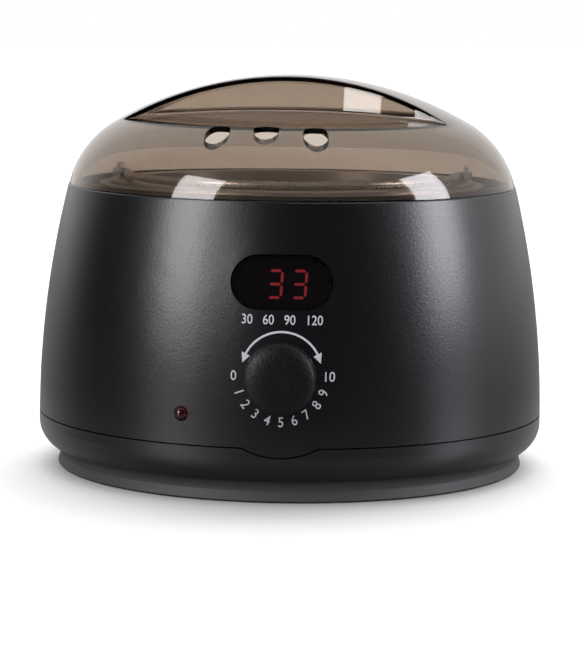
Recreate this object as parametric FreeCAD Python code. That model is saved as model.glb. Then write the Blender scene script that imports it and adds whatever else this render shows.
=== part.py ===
import FreeCAD, Part
import math
import os

V = FreeCAD.Vector

# A table-top wax warmer, in millimetres: +Z up, origin on the axis at the table, front towards -Y.

# Cutters run past a face by this much, and a screw or stud has this much room in its hole
OVER = 1.0
HOLE_PLAY = 0.2

# Housing wall: a barrel curve that is widest low down
BODY_R = 93.1
BODY_WIDEST_Z = 16.5
WALL_ARC_R = 358.0
WALL = 2.4
RIM_Z = 103.5
RIM_ROUND = 0.6
COLLAR_TALL, COLLAR_THICK = 1.4, 2.0
DECK_Z = 102.0
DECK_THICK = 2.2
DECK_HOLE_R = 66.0

# Seam between the upper shell and the base, with a round lobe below the knob
SEAM_Z = 20.0
SEAM_GAP = 0.5
LOBE_Z = 45.0
LOBE_R = 28.0
TONGUE_R = 90.3
TONGUE_TOP = 24.0

# Base and foot ring
CHINE_R, CHINE_Z = 88.6, 7.8
BASE_INNER_R = 88.4
BASE_UNDER_Z = 3.0
BASE_WALL = 2.2
FOOT_SEAT_R = 84.0
FOOT_R = 86.2
FOOT_INNER_R = 79.0
FOOT_WAIST_R, FOOT_WAIST_Z = 85.4, 3.8
FOOT_STEP = 0.25
FOOT_ROUND = 0.6
VENT_COUNT = 12
VENT_WIDE = 3.0
VENT_FROM, VENT_TO = 30.0, 54.0

# Screws that hold the base to the shell
BOSS_PCD_R = 72.0
BOSS_R = 4.5
BOSS_TOP = 44.0
GUSSET = 2.0
COLUMN_R = 6.0
WELL_R = 4.2
WELL_TOP = 17.0
SCREW_SEAM_Z = 21.0
SCREW_R = 1.5
SCREW_HEAD_R = 3.5
SCREW_HEAD = 2.4
SCREW_SLOT_LONG, SCREW_SLOT_WIDE = 4.0, 0.8
SCREW_TOP = 36.0
BOSS_ANGLES = (45, 135, 225, 315)

# Clear lid: dome, rounded shoulder, leaning skirt, and a fin left between two finger scoops
LID_TURN = -6.0
LID_TOP = 143.7
LID_WALL = 1.9
DOME_R = 130.8
DOME_TO_R = 65.2
SHOULDER_R = 35.4
SKIRT_LEAN = 14.9
LID_PLAY = 0.35
FLOOR_TOP = 130.6
FLOOR_R = 620.0
FIN_HALF = 10.7
FIN_ARC_R = 188.0
FIN_DRAFT = 7.0
FIN_ROOT_ROUND = 3.0
VENT_HOLE_R = 4.5
VENT_HOLE_PITCH = 17.2
VENT_HOLE_Y = -64.5

# Heating cup that hangs in the deck, on a gasket
CUP_R = 60.4
CUP_WALL = 1.5
CUP_FLOOR_Z = 40.0
CUP_FLOOR = 2.0
CUP_CORNER = 8.0
CUP_FLANGE_R = 71.0
CUP_FLANGE = 1.2
GASKET = 0.8
GASKET_IN, GASKET_OUT = 66.2, 71.4
STUD_PCD_R = 68.8
STUD_R = 1.5
STUD_END_Z = 94.0
STUD_ANGLES = (30, 150, 270)
CENTRE_STUD_R = 2.0
CENTRE_STUD_LONG = 13.0

# Lift-out pot with its bail
POT_R = 59.2
POT_WALL = 1.2
POT_FLOOR_Z = 43.5
POT_CORNER = 8.0
POT_FLANGE_R = 67.0
EAR_THICK = 1.2
EAR_X = 63.6
EAR_BACK, EAR_FRONT = 12.0, 4.0
EAR_TALL = 5.6
EAR_CORNER = 3.5
EAR_PLAY = 0.4
BAIL_WIRE_R = 1.5
BAIL_PLAY = 0.08
BAIL_LIFT = 2.2
BAIL_BEND = 2.7
BAIL_TIP = 66.4
RIVET_R = 1.5
RIVET_HEAD_R = 2.2
RIVET_HEAD = 1.0
RIVET_X = 61.4
RIVET_YS = (5.0, 9.5)

# Band heater round the cup
BAND_THICK = 2.0
BAND_PLAY = 0.05
BAND_LOW, BAND_HIGH = 52.0, 88.0
BAND_GAP_DEG = 10.0
BAND_EAR_OUT = 76.0
BAND_EAR_LOW, BAND_EAR_HIGH = 60.0, 80.0
BAND_BOLT_R = 2.0
BAND_POST_R = 2.0
BAND_POST_Z = 58.0
BAND_POST_DEG = 6.0
BAND_POST_LONG = 8.0

# Sensor, fuse and their nut on the stud under the cup
SENSOR_THICK = 1.0
SENSOR_LUG_R = 5.0
SENSOR_BEAD_R, SENSOR_BEAD_LONG = 1.8, 8.0
SENSOR_REACH = 14.0
CLIP_THICK, CLIP_WIDE = 0.8, 8.0
FUSE_R = 2.2
FUSE_PLAY = 0.1
FUSE_Y = 16.0
FUSE_LONG = 11.0
M4_FLATS = 7.0
M4_NUT = 3.2
M4_HEAD = 2.8
M3_FLATS = 5.5
M3_NUT = 2.4

# Thermostat and knob, on an axis square to the front wall
KNOB_Z = 44.2
KNOB_R = 12.45
KNOB_TAPER = 0.5
KNOB_BASE, KNOB_TOP = 0.7, 12.0
KNOB_DOME = 1.0
KNOB_ROUND = 2.5
KNOB_SHELL = 2.0
KNOB_RIBS = 40
KNOB_GROOVE_R = 0.55
KNOB_SKIRT = 1.2
HUB_R = 5.0
HUB_BASE = 5.6
SHAFT_R = 3.0
SHAFT_PLAY = 0.05
SHAFT_FLAT = 1.6
SHAFT_BACK, SHAFT_TIP = -9.0, 9.6
BUSH_R = 3.5
BUSH_TIP = 5.0
PAD_R = 9.0
PAD_BACK = -4.4
STAT_R = 13.0
STAT_BACK = -15.4
STAT_TAB_LONG = 8.0
STAT_TAB_X = 5.0
STAT_TAB_HALF_THICK, STAT_TAB_HALF_WIDE = 0.4, 3.1
STAT_ROUND = 1.5
NUT_FLATS = 10.0
NUT_THICK = 2.3

# Display: window, digit block and board behind the front wall
WINDOW_Z = 76.6
WINDOW_LONG, WINDOW_HIGH = 35.0, 19.0
WINDOW_PLAY = 0.2
LENS_FRONT, LENS_BACK = -2.6, -4.4
LENS_EDGE = 0.4
SLEEVE_WALL = 1.6
LEDGE = 2.0
LEDGE_BACK = -6.4
DIGITS_LONG, DIGITS_HIGH = 29.0, 13.4
DIGITS_FRONT, BOARD_FRONT = -6.6, -13.2
BOARD_LONG, BOARD_HIGH, BOARD_THICK = 50.0, 27.0, 1.6
BOARD_CORNER = 2.0
CHIP_WIDE, CHIP_HIGH, CHIP_DEEP = 10.0, 6.0, 1.8
SOCKET_WIDE, SOCKET_HIGH, SOCKET_DEEP = 10.0, 4.5, 3.6
CAPACITOR_R, CAPACITOR_DEEP = 2.5, 3.8
PART_MARGIN = 1.0
BOARD_SCREW_X = 21.5
BOARD_BOSS_R = 3.0
BOARD_SCREW_R = 1.25
BOARD_SCREW_HEAD_R, BOARD_SCREW_HEAD = 2.3, 1.6
BOARD_SCREW_IN = 6.0

# Indicator lamp, low on the left of the front
LAMP_AZIMUTH = -21.6
LAMP_Z = 30.7
LAMP_R = 2.5
LAMP_PROUD = 2.0
LAMP_HOLE_R = 2.65
LAMP_FLANGE_R = 2.9
LAMP_BACK = -6.4
HOLDER_R = 4.6
HOLDER_FRONT, HOLDER_BACK = -2.6, -5.4
HOLDER_PLAY = 0.05

# Cord gland at the rear
GLAND_Z = 32.0
GLAND_BORE_R = 3.25
GLAND_R = 5.5
GLAND_HOLE_R = 5.7
GLAND_FLANGE_R = 8.0
GLAND_FLANGE = 2.3
GLAND_IN_Y = 84.0
GLAND_RIDGE_R = 6.3
GLAND_RAMP, GLAND_RIDGE = 2.4, 0.6
GLAND_EDGE = 1.0
GLAND_PLAY = 0.05

# Terminal block on the base floor
BLOCK_Y = 58.0
BLOCK_LONG, BLOCK_DEEP, BLOCK_HIGH = 24.0, 16.0, 14.0
BLOCK_FOOT = 6.0
BLOCK_WELL = 4.0
BLOCK_POLE_X = 6.5
POLE_HOLE_R, POLE_DEEP = 2.0, 6.0

# Insulated leads
LEAD_R = 1.2
LEAD_BEND = 4.0
LEAD_RUN = 6.0
BOARD_LEAD_X = 18.0

BASE_FLOOR_Z = BASE_UNDER_Z + BASE_WALL
CUP_FLANGE_Z = DECK_Z + GASKET
POT_FLANGE_Z = CUP_FLANGE_Z + CUP_FLANGE
POT_TOP = POT_FLANGE_Z + POT_WALL
BAIL_Z = POT_TOP + BAIL_LIFT
BAND_R = CUP_R + CUP_WALL + BAND_PLAY


def xz(point):
    """A point of a half section, given as radius and height."""
    return V(point[0], 0, point[1])


def section(start, *steps):
    """A closed half section: each step is an end point, or a middle and an end point for an arc."""
    edges = []
    here = start
    for step in steps + (start,):
        if isinstance(step[0], tuple):
            middle, end = step
            edges.append(Part.Arc(xz(here), xz(middle), xz(end)).toShape())
        else:
            end = step
            if end == here:
                continue
            edges.append(Part.LineSegment(xz(here), xz(end)).toShape())
        here = end
    return Part.Face(Part.Wire(edges))


def turned(face):
    """A half section turned all the way round the axis."""
    return face.revolve(V(0, 0, 0), V(0, 0, 1), 360)


def rod(radius, low, high, x=0.0, y=0.0):
    """An upright cylinder."""
    return Part.makeCylinder(radius, high - low, V(x, y, low))


def tube(outer, inner, low, high):
    """An upright pipe about the axis."""
    return rod(outer, low, high).cut(rod(inner, low, high))


def block(x_range, y_range, z_range):
    """A box between three pairs of limits."""
    low = V(x_range[0], y_range[0], z_range[0])
    size = V(x_range[1], y_range[1], z_range[1]) - low
    return Part.makeBox(size.x, size.y, size.z, low)


def stadium(length, height, low, high):
    """A prism with half-round ends, centred on the local Z axis."""
    r = height / 2
    half = length / 2 - r
    a, b = V(half, -r, low), V(half, r, low)
    c, d = V(-half, r, low), V(-half, -r, low)
    edges = [
        Part.Arc(a, V(half + r, 0, low), b).toShape(),
        Part.LineSegment(b, c).toShape(),
        Part.Arc(c, V(-half - r, 0, low), d).toShape(),
        Part.LineSegment(d, a).toShape(),
    ]
    return Part.Face(Part.Wire(edges)).extrude(V(0, 0, high - low))


def hexagon(flats, low, high):
    """A hexagonal prism on the local Z axis."""
    corner = flats / math.sqrt(3)
    turns = [math.radians(60 * k) for k in range(7)]
    points = [V(corner * math.cos(t), corner * math.sin(t), low) for t in turns]
    return Part.Face(Part.makePolygon(points)).extrude(V(0, 0, high - low))


def placed(shape, frame):
    """A copy of a shape carried from a local frame to its place."""
    copy = shape.copy()
    copy.Placement = frame.multiply(copy.Placement)
    return copy


def spun(shape, degrees):
    """A copy of a shape turned about the vertical axis."""
    copy = shape.copy()
    copy.rotate(V(0, 0, 0), V(0, 0, 1), degrees)
    return copy


def ring_of(shape, angles):
    """One copy of a shape at each of the angles about the vertical axis."""
    return [spun(shape, angle) for angle in angles]


def wall_radius(z, inset=0.0):
    """Radius of the barrel-shaped wall at a height, or of a face that far inside it."""
    return BODY_R - WALL_ARC_R + math.sqrt((WALL_ARC_R - inset) ** 2 - (z - BODY_WIDEST_Z) ** 2)


def wall_point(z, inset=0.0):
    """A point of the wall's half section."""
    return (wall_radius(z, inset), z)


def wall_frame(azimuth, z):
    """A place on the wall's outer face: +X to the right, +Y up the wall, +Z straight out of it."""
    lean = math.asin((z - BODY_WIDEST_Z) / WALL_ARC_R)
    turn = math.radians(azimuth)
    out = V(math.sin(turn), -math.cos(turn), 0)
    right = V(math.cos(turn), math.sin(turn), 0)
    normal = out * math.cos(lean) + V(0, 0, math.sin(lean))
    up = V(0, 0, math.cos(lean)) - out * math.sin(lean)
    origin = out * wall_radius(z) + V(0, 0, z)
    return FreeCAD.Placement(origin, FreeCAD.Rotation(right, up, normal, "ZXY"))


KNOB_FRAME = wall_frame(0.0, KNOB_Z)
WINDOW_FRAME = wall_frame(0.0, WINDOW_Z)
LAMP_FRAME = wall_frame(LAMP_AZIMUTH, LAMP_Z)
GLAND_FRAME = FreeCAD.Placement(V(0, 0, GLAND_Z), FreeCAD.Rotation(V(1, 0, 0), -90))


def lobe(radius):
    """The round bar behind the knob that shapes the lobe of the seam, on the front half."""
    return Part.makeCylinder(radius, BODY_R + OVER, V(0, 0, LOBE_Z), V(0, -1, 0))


def shell_body():
    """The barrel-shaped wall, a flat seat and low collar for the lid, and the deck, before any cut-outs."""
    low = LOBE_Z - LOBE_R - 2 * OVER
    edge_z = RIM_Z - RIM_ROUND
    edge_r = wall_radius(edge_z)
    bend = RIM_ROUND * (1 - math.sqrt(0.5))
    collar_r = dome_curve(LID_WALL)["foot"][0] - LID_PLAY
    collar_top_r = collar_r - COLLAR_TALL * math.tan(math.radians(SKIRT_LEAN))
    collar_in = collar_top_r - COLLAR_THICK
    deck_low = DECK_Z - DECK_THICK
    face = section(
        wall_point(low, WALL),
        wall_point(low),
        (wall_point((low + edge_z) / 2), wall_point(edge_z)),
        ((edge_r - bend, RIM_Z - bend), (edge_r - RIM_ROUND, RIM_Z)),
        (collar_r, RIM_Z),
        (collar_top_r, RIM_Z + COLLAR_TALL),
        (collar_in, RIM_Z + COLLAR_TALL),
        (collar_in, DECK_Z),
        (DECK_HOLE_R, DECK_Z),
        (DECK_HOLE_R, deck_low),
        wall_point(deck_low, WALL),
        (wall_point((low + deck_low) / 2, WALL), wall_point(low, WALL)),
    )
    return turned(face)


def wall_solid():
    """Everything inside the wall's outer face, used to trim pieces that grow inwards from it."""
    low = LOBE_Z - LOBE_R - 2 * OVER
    face = section(
        (0, low),
        wall_point(low),
        (wall_point((low + DECK_Z) / 2), wall_point(DECK_Z)),
        (0, DECK_Z),
    )
    return turned(face)


def screw_boss():
    """One boss with its gusset, reaching in from the wall to a base screw."""
    boss = rod(BOSS_R, SCREW_SEAM_Z, BOSS_TOP, BOSS_PCD_R)
    reach = wall_radius(BOSS_TOP, WALL / 2)
    gusset = block((BOSS_PCD_R, reach), (-GUSSET / 2, GUSSET / 2), (TONGUE_TOP + OVER, BOSS_TOP))
    notch = block((BASE_INNER_R - OVER, BODY_R), (-GUSSET, GUSSET), (SCREW_SEAM_Z - OVER, TONGUE_TOP + OVER))
    hole = rod(SCREW_R, SCREW_SEAM_Z - 1, SCREW_TOP + 1, BOSS_PCD_R)
    return boss.fuse(gusset).cut(notch).cut(hole)


def body_shell():
    """Upper housing: wall, rim, deck, window frame, thermostat pad and screw bosses in one moulding."""
    inside = wall_solid()
    shell = shell_body()
    below = tube(BODY_R + OVER, TONGUE_R - 3 * OVER, 0.0, SEAM_Z + SEAM_GAP / 2)
    lobe_skin = shell.common(below).common(lobe(LOBE_R))
    shell = shell.cut(below).fuse(lobe_skin).removeSplitter()
    sleeve = stadium(WINDOW_LONG + 2 * SLEEVE_WALL, WINDOW_HIGH + 2 * SLEEVE_WALL, LEDGE_BACK, 4.0)
    pad = rod(PAD_R, PAD_BACK, 0.0)
    posts = [rod(BOARD_BOSS_R, BOARD_FRONT, -1.0, side * BOARD_SCREW_X) for side in (-1, 1)]
    grown = [placed(sleeve, WINDOW_FRAME), placed(pad, KNOB_FRAME)]
    grown += [placed(post, WINDOW_FRAME) for post in posts]
    shell = shell.multiFuse([piece.common(inside) for piece in grown])
    shell = shell.multiFuse(ring_of(screw_boss(), BOSS_ANGLES))

    lens_hole = stadium(WINDOW_LONG, WINDOW_HIGH, LENS_BACK, 6.0)
    sight_hole = stadium(WINDOW_LONG - 2 * LEDGE, WINDOW_HIGH - 2 * LEDGE, LEDGE_BACK - 1, 0.0)
    post_holes = [
        rod(BOARD_SCREW_R, BOARD_FRONT - 1, BOARD_FRONT + BOARD_SCREW_IN + 1, side * BOARD_SCREW_X)
        for side in (-1, 1)
    ]
    cuts = [placed(hole, WINDOW_FRAME) for hole in [lens_hole, sight_hole] + post_holes]
    cuts.append(placed(rod(BUSH_R + HOLE_PLAY, PAD_BACK - OVER, 2.0), KNOB_FRAME))
    cuts.append(placed(rod(LAMP_HOLE_R, -8.0, 4.0), LAMP_FRAME))
    cuts.append(placed(rod(GLAND_HOLE_R, GLAND_IN_Y, BODY_R + 5), GLAND_FRAME))
    stud_hole = rod(STUD_R + HOLE_PLAY, DECK_Z - DECK_THICK - OVER, DECK_Z + OVER, STUD_PCD_R)
    cuts += ring_of(stud_hole, STUD_ANGLES)
    return shell.cut(cuts)


def base_cover():
    """Base bowl with the floor, locating tongue, air slots, screw columns and the terminal block's foot."""
    rise = BODY_WIDEST_Z - CHINE_Z
    drop = BODY_R - CHINE_R
    arc_r = (rise ** 2 + drop ** 2) / (2 * drop)
    turn = math.asin(rise / arc_r) / 2
    arc_mid = (BODY_R - arc_r + arc_r * math.cos(turn), BODY_WIDEST_Z - arc_r * math.sin(turn))
    seam_low = SEAM_Z - SEAM_GAP / 2
    step_in = FOOT_SEAT_R - BASE_WALL
    face = section(
        (0, BASE_UNDER_Z),
        (FOOT_SEAT_R, BASE_UNDER_Z),
        (FOOT_SEAT_R, CHINE_Z),
        (CHINE_R, CHINE_Z),
        (arc_mid, (BODY_R, BODY_WIDEST_Z)),
        wall_point(seam_low),
        (TONGUE_R, seam_low),
        (TONGUE_R, TONGUE_TOP),
        (BASE_INNER_R, TONGUE_TOP),
        (BASE_INNER_R, CHINE_Z + BASE_WALL),
        (step_in, CHINE_Z + BASE_WALL),
        (step_in, BASE_FLOOR_Z),
        (0, BASE_FLOOR_Z),
    )
    column = rod(COLUMN_R, BASE_FLOOR_Z - 1, SCREW_SEAM_Z, BOSS_PCD_R)
    foot = rod(BOSS_R, BASE_FLOOR_Z - 1, BASE_FLOOR_Z + BLOCK_FOOT, 0, BLOCK_Y)
    bowl = turned(face).multiFuse(ring_of(column, BOSS_ANGLES) + [foot])

    well = rod(WELL_R, BASE_UNDER_Z - 1, WELL_TOP, BOSS_PCD_R)
    pass_hole = rod(SCREW_R + HOLE_PLAY, WELL_TOP - OVER, SCREW_SEAM_Z + OVER, BOSS_PCD_R)
    half = VENT_WIDE / 2
    slot = block((VENT_FROM, VENT_TO), (-half, half), (BASE_UNDER_Z - 1, BASE_FLOOR_Z + 1))
    slot = slot.fuse(rod(half, BASE_UNDER_Z - 1, BASE_FLOOR_Z + 1, VENT_FROM))
    slot = slot.fuse(rod(half, BASE_UNDER_Z - 1, BASE_FLOOR_Z + 1, VENT_TO))
    slot_angles = [(k + 0.5) * 360 / VENT_COUNT for k in range(VENT_COUNT)]
    cuts = ring_of(well, BOSS_ANGLES) + ring_of(pass_hole, BOSS_ANGLES) + ring_of(slot, slot_angles)
    cuts.append(rod(SCREW_R, BASE_FLOOR_Z, BASE_FLOOR_Z + BLOCK_FOOT + 1, 0, BLOCK_Y))
    lobe_room = lobe(LOBE_R + SEAM_GAP).cut(rod(TONGUE_R, 0.0, RIM_Z))
    return bowl.cut(cuts + [lobe_room])


def foot_ring():
    """Rubber ring that the warmer stands on, its side sweeping out in a cove to just inside the bowl."""
    top_r = CHINE_R - FOOT_STEP
    sweep = 2 * math.atan((top_r - FOOT_WAIST_R) / (CHINE_Z - FOOT_WAIST_Z))
    cove_r = (CHINE_Z - FOOT_WAIST_Z) / math.sin(sweep)
    cove_mid = (
        FOOT_WAIST_R + cove_r * (1 - math.cos(sweep / 2)),
        FOOT_WAIST_Z + cove_r * math.sin(sweep / 2),
    )
    face = section(
        (FOOT_INNER_R, 0),
        (FOOT_R - FOOT_ROUND, 0),
        (FOOT_R, FOOT_ROUND),
        (FOOT_WAIST_R, FOOT_WAIST_Z),
        (cove_mid, (top_r, CHINE_Z)),
        (FOOT_SEAT_R, CHINE_Z),
        (FOOT_SEAT_R, BASE_UNDER_Z),
        (FOOT_INNER_R, BASE_UNDER_Z),
    )
    return turned(face)


def base_screws():
    """Four pan-head screws from below, through the base into the shell's bosses."""
    head = rod(SCREW_HEAD_R, WELL_TOP - SCREW_HEAD, WELL_TOP, BOSS_PCD_R)
    half_long, half_wide = SCREW_SLOT_LONG / 2, SCREW_SLOT_WIDE / 2
    slot_x = (BOSS_PCD_R - half_long, BOSS_PCD_R + half_long)
    slot = block(slot_x, (-half_wide, half_wide), (0, WELL_TOP - SCREW_HEAD + OVER))
    screw = head.cut(slot).fuse(rod(SCREW_R, WELL_TOP, SCREW_TOP, BOSS_PCD_R))
    return Part.makeCompound(ring_of(screw, BOSS_ANGLES))


def dome_curve(inset):
    """Key points of the lid's half section, on its outer face or that far inside it."""
    centre_z = LID_TOP - DOME_R
    lean = math.asin(DOME_TO_R / DOME_R)
    shoulder_x = DOME_TO_R - SHOULDER_R * math.sin(lean)
    shoulder_z = centre_z + (DOME_R - SHOULDER_R) * math.cos(lean)
    skirt = math.radians(SKIRT_LEAN)
    big, small = DOME_R - inset, SHOULDER_R - inset

    def on_dome(angle):
        return (big * math.sin(angle), centre_z + big * math.cos(angle))

    def on_shoulder(angle):
        return (shoulder_x + small * math.sin(angle), shoulder_z + small * math.cos(angle))

    end = math.pi / 2 - skirt
    knee = on_shoulder(end)
    foot = (knee[0] + (knee[1] - RIM_Z) * math.tan(skirt), RIM_Z)
    return {
        "apex": on_dome(0.0),
        "dome": (on_dome(lean / 2), on_dome(lean)),
        "shoulder": (on_shoulder((lean + end) / 2), knee),
        "foot": foot,
    }


def lid_foot_radius():
    """Outer radius of the lid where it stands on the rim."""
    return dome_curve(0.0)["foot"][0]


def domed(inset):
    """The lid's dome and skirt as a filled solid, on its outer face or that far inside it."""
    curve = dome_curve(inset)
    return turned(section(curve["apex"], curve["dome"], curve["shoulder"], curve["foot"], (0, RIM_Z)))


def scoop(side, inset):
    """What one finger scoop takes off the dome: a round, drafted bite down to a gently crowned floor."""
    above = LID_TOP + OVER
    reach = lid_foot_radius()
    slope = math.tan(math.radians(FIN_DRAFT))
    low_r = FIN_ARC_R + inset - (LID_TOP - RIM_Z) * slope
    high_r = FIN_ARC_R + inset + OVER * slope
    bite = Part.makeCone(low_r, high_r, above - RIM_Z, V(0, side * (FIN_HALF + FIN_ARC_R), RIM_Z))
    near, far = sorted((0.0, side * reach))
    bite = bite.common(block((-reach, reach), (near, far), (RIM_Z, above)))
    floor = Part.makeSphere(FLOOR_R - inset, V(0, 0, FLOOR_TOP - FLOOR_R))
    tool = bite.cut(floor)
    root = [
        edge
        for edge in tool.Edges
        if edge.BoundBox.ZMax < FLOOR_TOP + OVER
        and edge.BoundBox.XLength > reach
        and abs(edge.CenterOfMass.y) < reach / 2
    ]
    return tool.makeFillet(FIN_ROOT_ROUND + inset, root)


def lid():
    """Clear lid of even wall: dome and skirt, a hollow fin between two scoops, and a row of vent holes."""
    outer, inner = domed(0.0), domed(LID_WALL)
    for side in (-1, 1):
        outer = outer.cut(scoop(side, 0.0))
        inner = inner.cut(scoop(side, LID_WALL))
    holes = [
        rod(VENT_HOLE_R, RIM_Z + OVER, LID_TOP, step * VENT_HOLE_PITCH, VENT_HOLE_Y) for step in (-1, 0, 1)
    ]
    return spun(outer.cut(inner).cut(holes), LID_TURN)


def bowl_wall(radius, wall, floor_z, floor, corner, top):
    """Points of a straight-sided bowl's half section, from the inner rim down and back up outside."""
    bend = corner * (1 - math.sqrt(0.5))
    in_r, in_z, in_corner = radius - wall, floor_z + floor, corner - wall
    in_bend = in_corner * (1 - math.sqrt(0.5))
    inside = [
        (in_r, in_z + in_corner),
        ((in_r - in_bend, in_z + in_bend), (in_r - in_corner, in_z)),
        (0, in_z),
    ]
    outside = [
        (0, floor_z),
        (radius - corner, floor_z),
        ((radius - bend, floor_z + bend), (radius, floor_z + corner)),
        (radius, top),
    ]
    return inside + outside


def heating_cup():
    """Spun aluminium cup with a flange, three hanging studs and a stud under its floor."""
    flange_top = CUP_FLANGE_Z + CUP_FLANGE
    steps = bowl_wall(CUP_R + CUP_WALL, CUP_WALL, CUP_FLOOR_Z, CUP_FLOOR, CUP_CORNER, CUP_FLANGE_Z)
    cup = turned(
        section((CUP_R, flange_top), *steps, (CUP_FLANGE_R, CUP_FLANGE_Z), (CUP_FLANGE_R, flange_top))
    )
    stud = rod(STUD_R, STUD_END_Z, CUP_FLANGE_Z, STUD_PCD_R)
    centre = rod(CENTRE_STUD_R, CUP_FLOOR_Z - CENTRE_STUD_LONG, CUP_FLOOR_Z)
    return cup.multiFuse(ring_of(stud, STUD_ANGLES) + [centre])


def cup_gasket():
    """Silicone ring between the cup's flange and the deck."""
    hole = rod(STUD_R + HOLE_PLAY, DECK_Z - OVER, CUP_FLANGE_Z + OVER, STUD_PCD_R)
    ring = tube(GASKET_OUT, GASKET_IN, DECK_Z, CUP_FLANGE_Z)
    return ring.cut(ring_of(hole, STUD_ANGLES))


def flange_nuts():
    """Nuts under the deck that hold the cup's studs."""
    top = DECK_Z - DECK_THICK
    nut = hexagon(M3_FLATS, top - M3_NUT, top).cut(rod(STUD_R, top - M3_NUT - 1, top + 1))
    nut.translate(V(STUD_PCD_R, 0, 0))
    return Part.makeCompound(ring_of(nut, STUD_ANGLES))


def ear_parts():
    """One bail ear on the right: a foot on the pot's flange and an upright with the eye."""
    outer_x = EAR_X + EAR_THICK
    inner_x = RIVET_X - RIVET_HEAD_R - EAR_PLAY
    clear_y = BAIL_WIRE_R + OVER
    foot = block((inner_x, outer_x), (clear_y, EAR_BACK), (POT_TOP, POT_TOP + EAR_THICK))
    upright = block((EAR_X, outer_x), (-EAR_FRONT, EAR_BACK), (POT_TOP, POT_TOP + EAR_TALL))
    corners = [
        edge
        for edge in upright.Edges
        if edge.BoundBox.XLength > EAR_THICK / 2 and edge.CenterOfMass.z > POT_TOP + OVER
    ]
    upright = upright.makeFillet(EAR_CORNER, corners)
    eye_r = BAIL_WIRE_R + BAIL_PLAY
    eye = Part.makeCylinder(eye_r, 3 * EAR_THICK, V(EAR_X - EAR_THICK, 0, BAIL_Z), V(1, 0, 0))
    holes = [rod(RIVET_R, POT_TOP - OVER, POT_TOP + EAR_THICK + OVER, RIVET_X, y) for y in RIVET_YS]
    return foot.fuse(upright).cut([eye] + holes).removeSplitter()


def mirrored(shape):
    """A copy of a shape on the other side of the YZ plane."""
    return shape.mirror(V(0, 0, 0), V(1, 0, 0))


def bail_ears():
    """The two ears of the pot's bail."""
    right = ear_parts()
    return Part.makeCompound([right, mirrored(right)])


def ear_rivets():
    """Round-head rivets, two through each ear and the pot's flange."""
    seat = POT_TOP + EAR_THICK
    ball_r = (RIVET_HEAD_R ** 2 + RIVET_HEAD ** 2) / (2 * RIVET_HEAD)
    rivets = []
    for side in (-1, 1):
        for y in RIVET_YS:
            place = V(side * RIVET_X, y, seat + RIVET_HEAD - ball_r)
            head = Part.makeSphere(ball_r, place).common(rod(RIVET_HEAD_R + 1, seat, seat + 3, place.x, y))
            rivets.append(head.fuse(rod(RIVET_R, POT_FLANGE_Z, seat, place.x, y)).removeSplitter())
    return Part.makeCompound(rivets)


def inner_pot():
    """Lift-out aluminium pot that hangs by its flange in the cup."""
    steps = bowl_wall(POT_R, POT_WALL, POT_FLOOR_Z, POT_WALL, POT_CORNER, POT_FLANGE_Z)
    face = section(
        (POT_R - POT_WALL, POT_TOP), *steps, (POT_FLANGE_R, POT_FLANGE_Z), (POT_FLANGE_R, POT_TOP)
    )
    holes = [
        rod(RIVET_R, POT_FLANGE_Z - 1, POT_TOP + 1, side * RIVET_X, y) for side in (-1, 1) for y in RIVET_YS
    ]
    return turned(face).cut(holes)


def bail_handle():
    """Wire bail, folded down on the front of the pot's rim, its ends hooked out through the ears."""
    start_x = EAR_X - EAR_PLAY
    arc_r = start_x - BAIL_BEND
    bend_mid = BAIL_BEND * (1 - math.sqrt(0.5))

    def at(x, y):
        return V(x, y, BAIL_Z)

    def hook(side):
        straight = Part.LineSegment(at(side * BAIL_TIP, 0), at(side * start_x, 0))
        middle = at(side * (arc_r + bend_mid), -bend_mid)
        bend = Part.Arc(at(side * start_x, 0), middle, at(side * arc_r, -BAIL_BEND))
        return [straight.toShape(), bend.toShape()]

    hoop = Part.Arc(at(arc_r, -BAIL_BEND), at(0, -BAIL_BEND - arc_r), at(-arc_r, -BAIL_BEND)).toShape()
    path = Part.Wire(Part.__sortEdges__(hook(1) + [hoop] + hook(-1)))
    ring = Part.Wire(Part.makeCircle(BAIL_WIRE_R, at(BAIL_TIP, 0), V(1, 0, 0)))
    return path.makePipeShell([ring], True, False)


def heater_band():
    """Mica band heater, open at the rear between two bolted ears, with two terminal posts on the right."""
    outer = BAND_R + BAND_THICK
    band = tube(outer, BAND_R, BAND_LOW, BAND_HIGH)
    half = math.radians(BAND_GAP_DEG / 2)
    gap_x = BAND_R * math.sin(half)
    band = band.cut(block((-gap_x, gap_x), (0, outer + 5), (BAND_LOW - 1, BAND_HIGH + 1)))
    ears = []
    for side in (-1, 1):
        near, far = sorted((side * gap_x, side * (gap_x + BAND_THICK)))
        ear = block((near, far), (BAND_R + 0.4, BAND_EAR_OUT), (BAND_EAR_LOW, BAND_EAR_HIGH))
        ears.append(ear)
    post = Part.makeCylinder(
        BAND_POST_R, BAND_THICK + BAND_POST_LONG, V(BAND_R + 0.5, 0, BAND_POST_Z), V(1, 0, 0)
    )
    band = band.multiFuse(ears + ring_of(post, (-BAND_POST_DEG, BAND_POST_DEG)))
    reach = band_ear_face() + 1
    return band.cut(placed(rod(BAND_BOLT_R, -reach, reach), band_bolt_frame()))


def band_bolt_frame():
    """Local frame of the band's clamp bolt, +Z along it to the right."""
    middle_y = (BAND_R + BAND_THICK + BAND_EAR_OUT) / 2
    middle_z = (BAND_EAR_LOW + BAND_EAR_HIGH) / 2
    turn = FreeCAD.Rotation(V(0, 1, 0), 90)
    return FreeCAD.Placement(V(0, middle_y, middle_z), turn)


def band_ear_face():
    """Distance from the middle plane to the outer face of a band ear."""
    return BAND_R * math.sin(math.radians(BAND_GAP_DEG / 2)) + BAND_THICK


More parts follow.
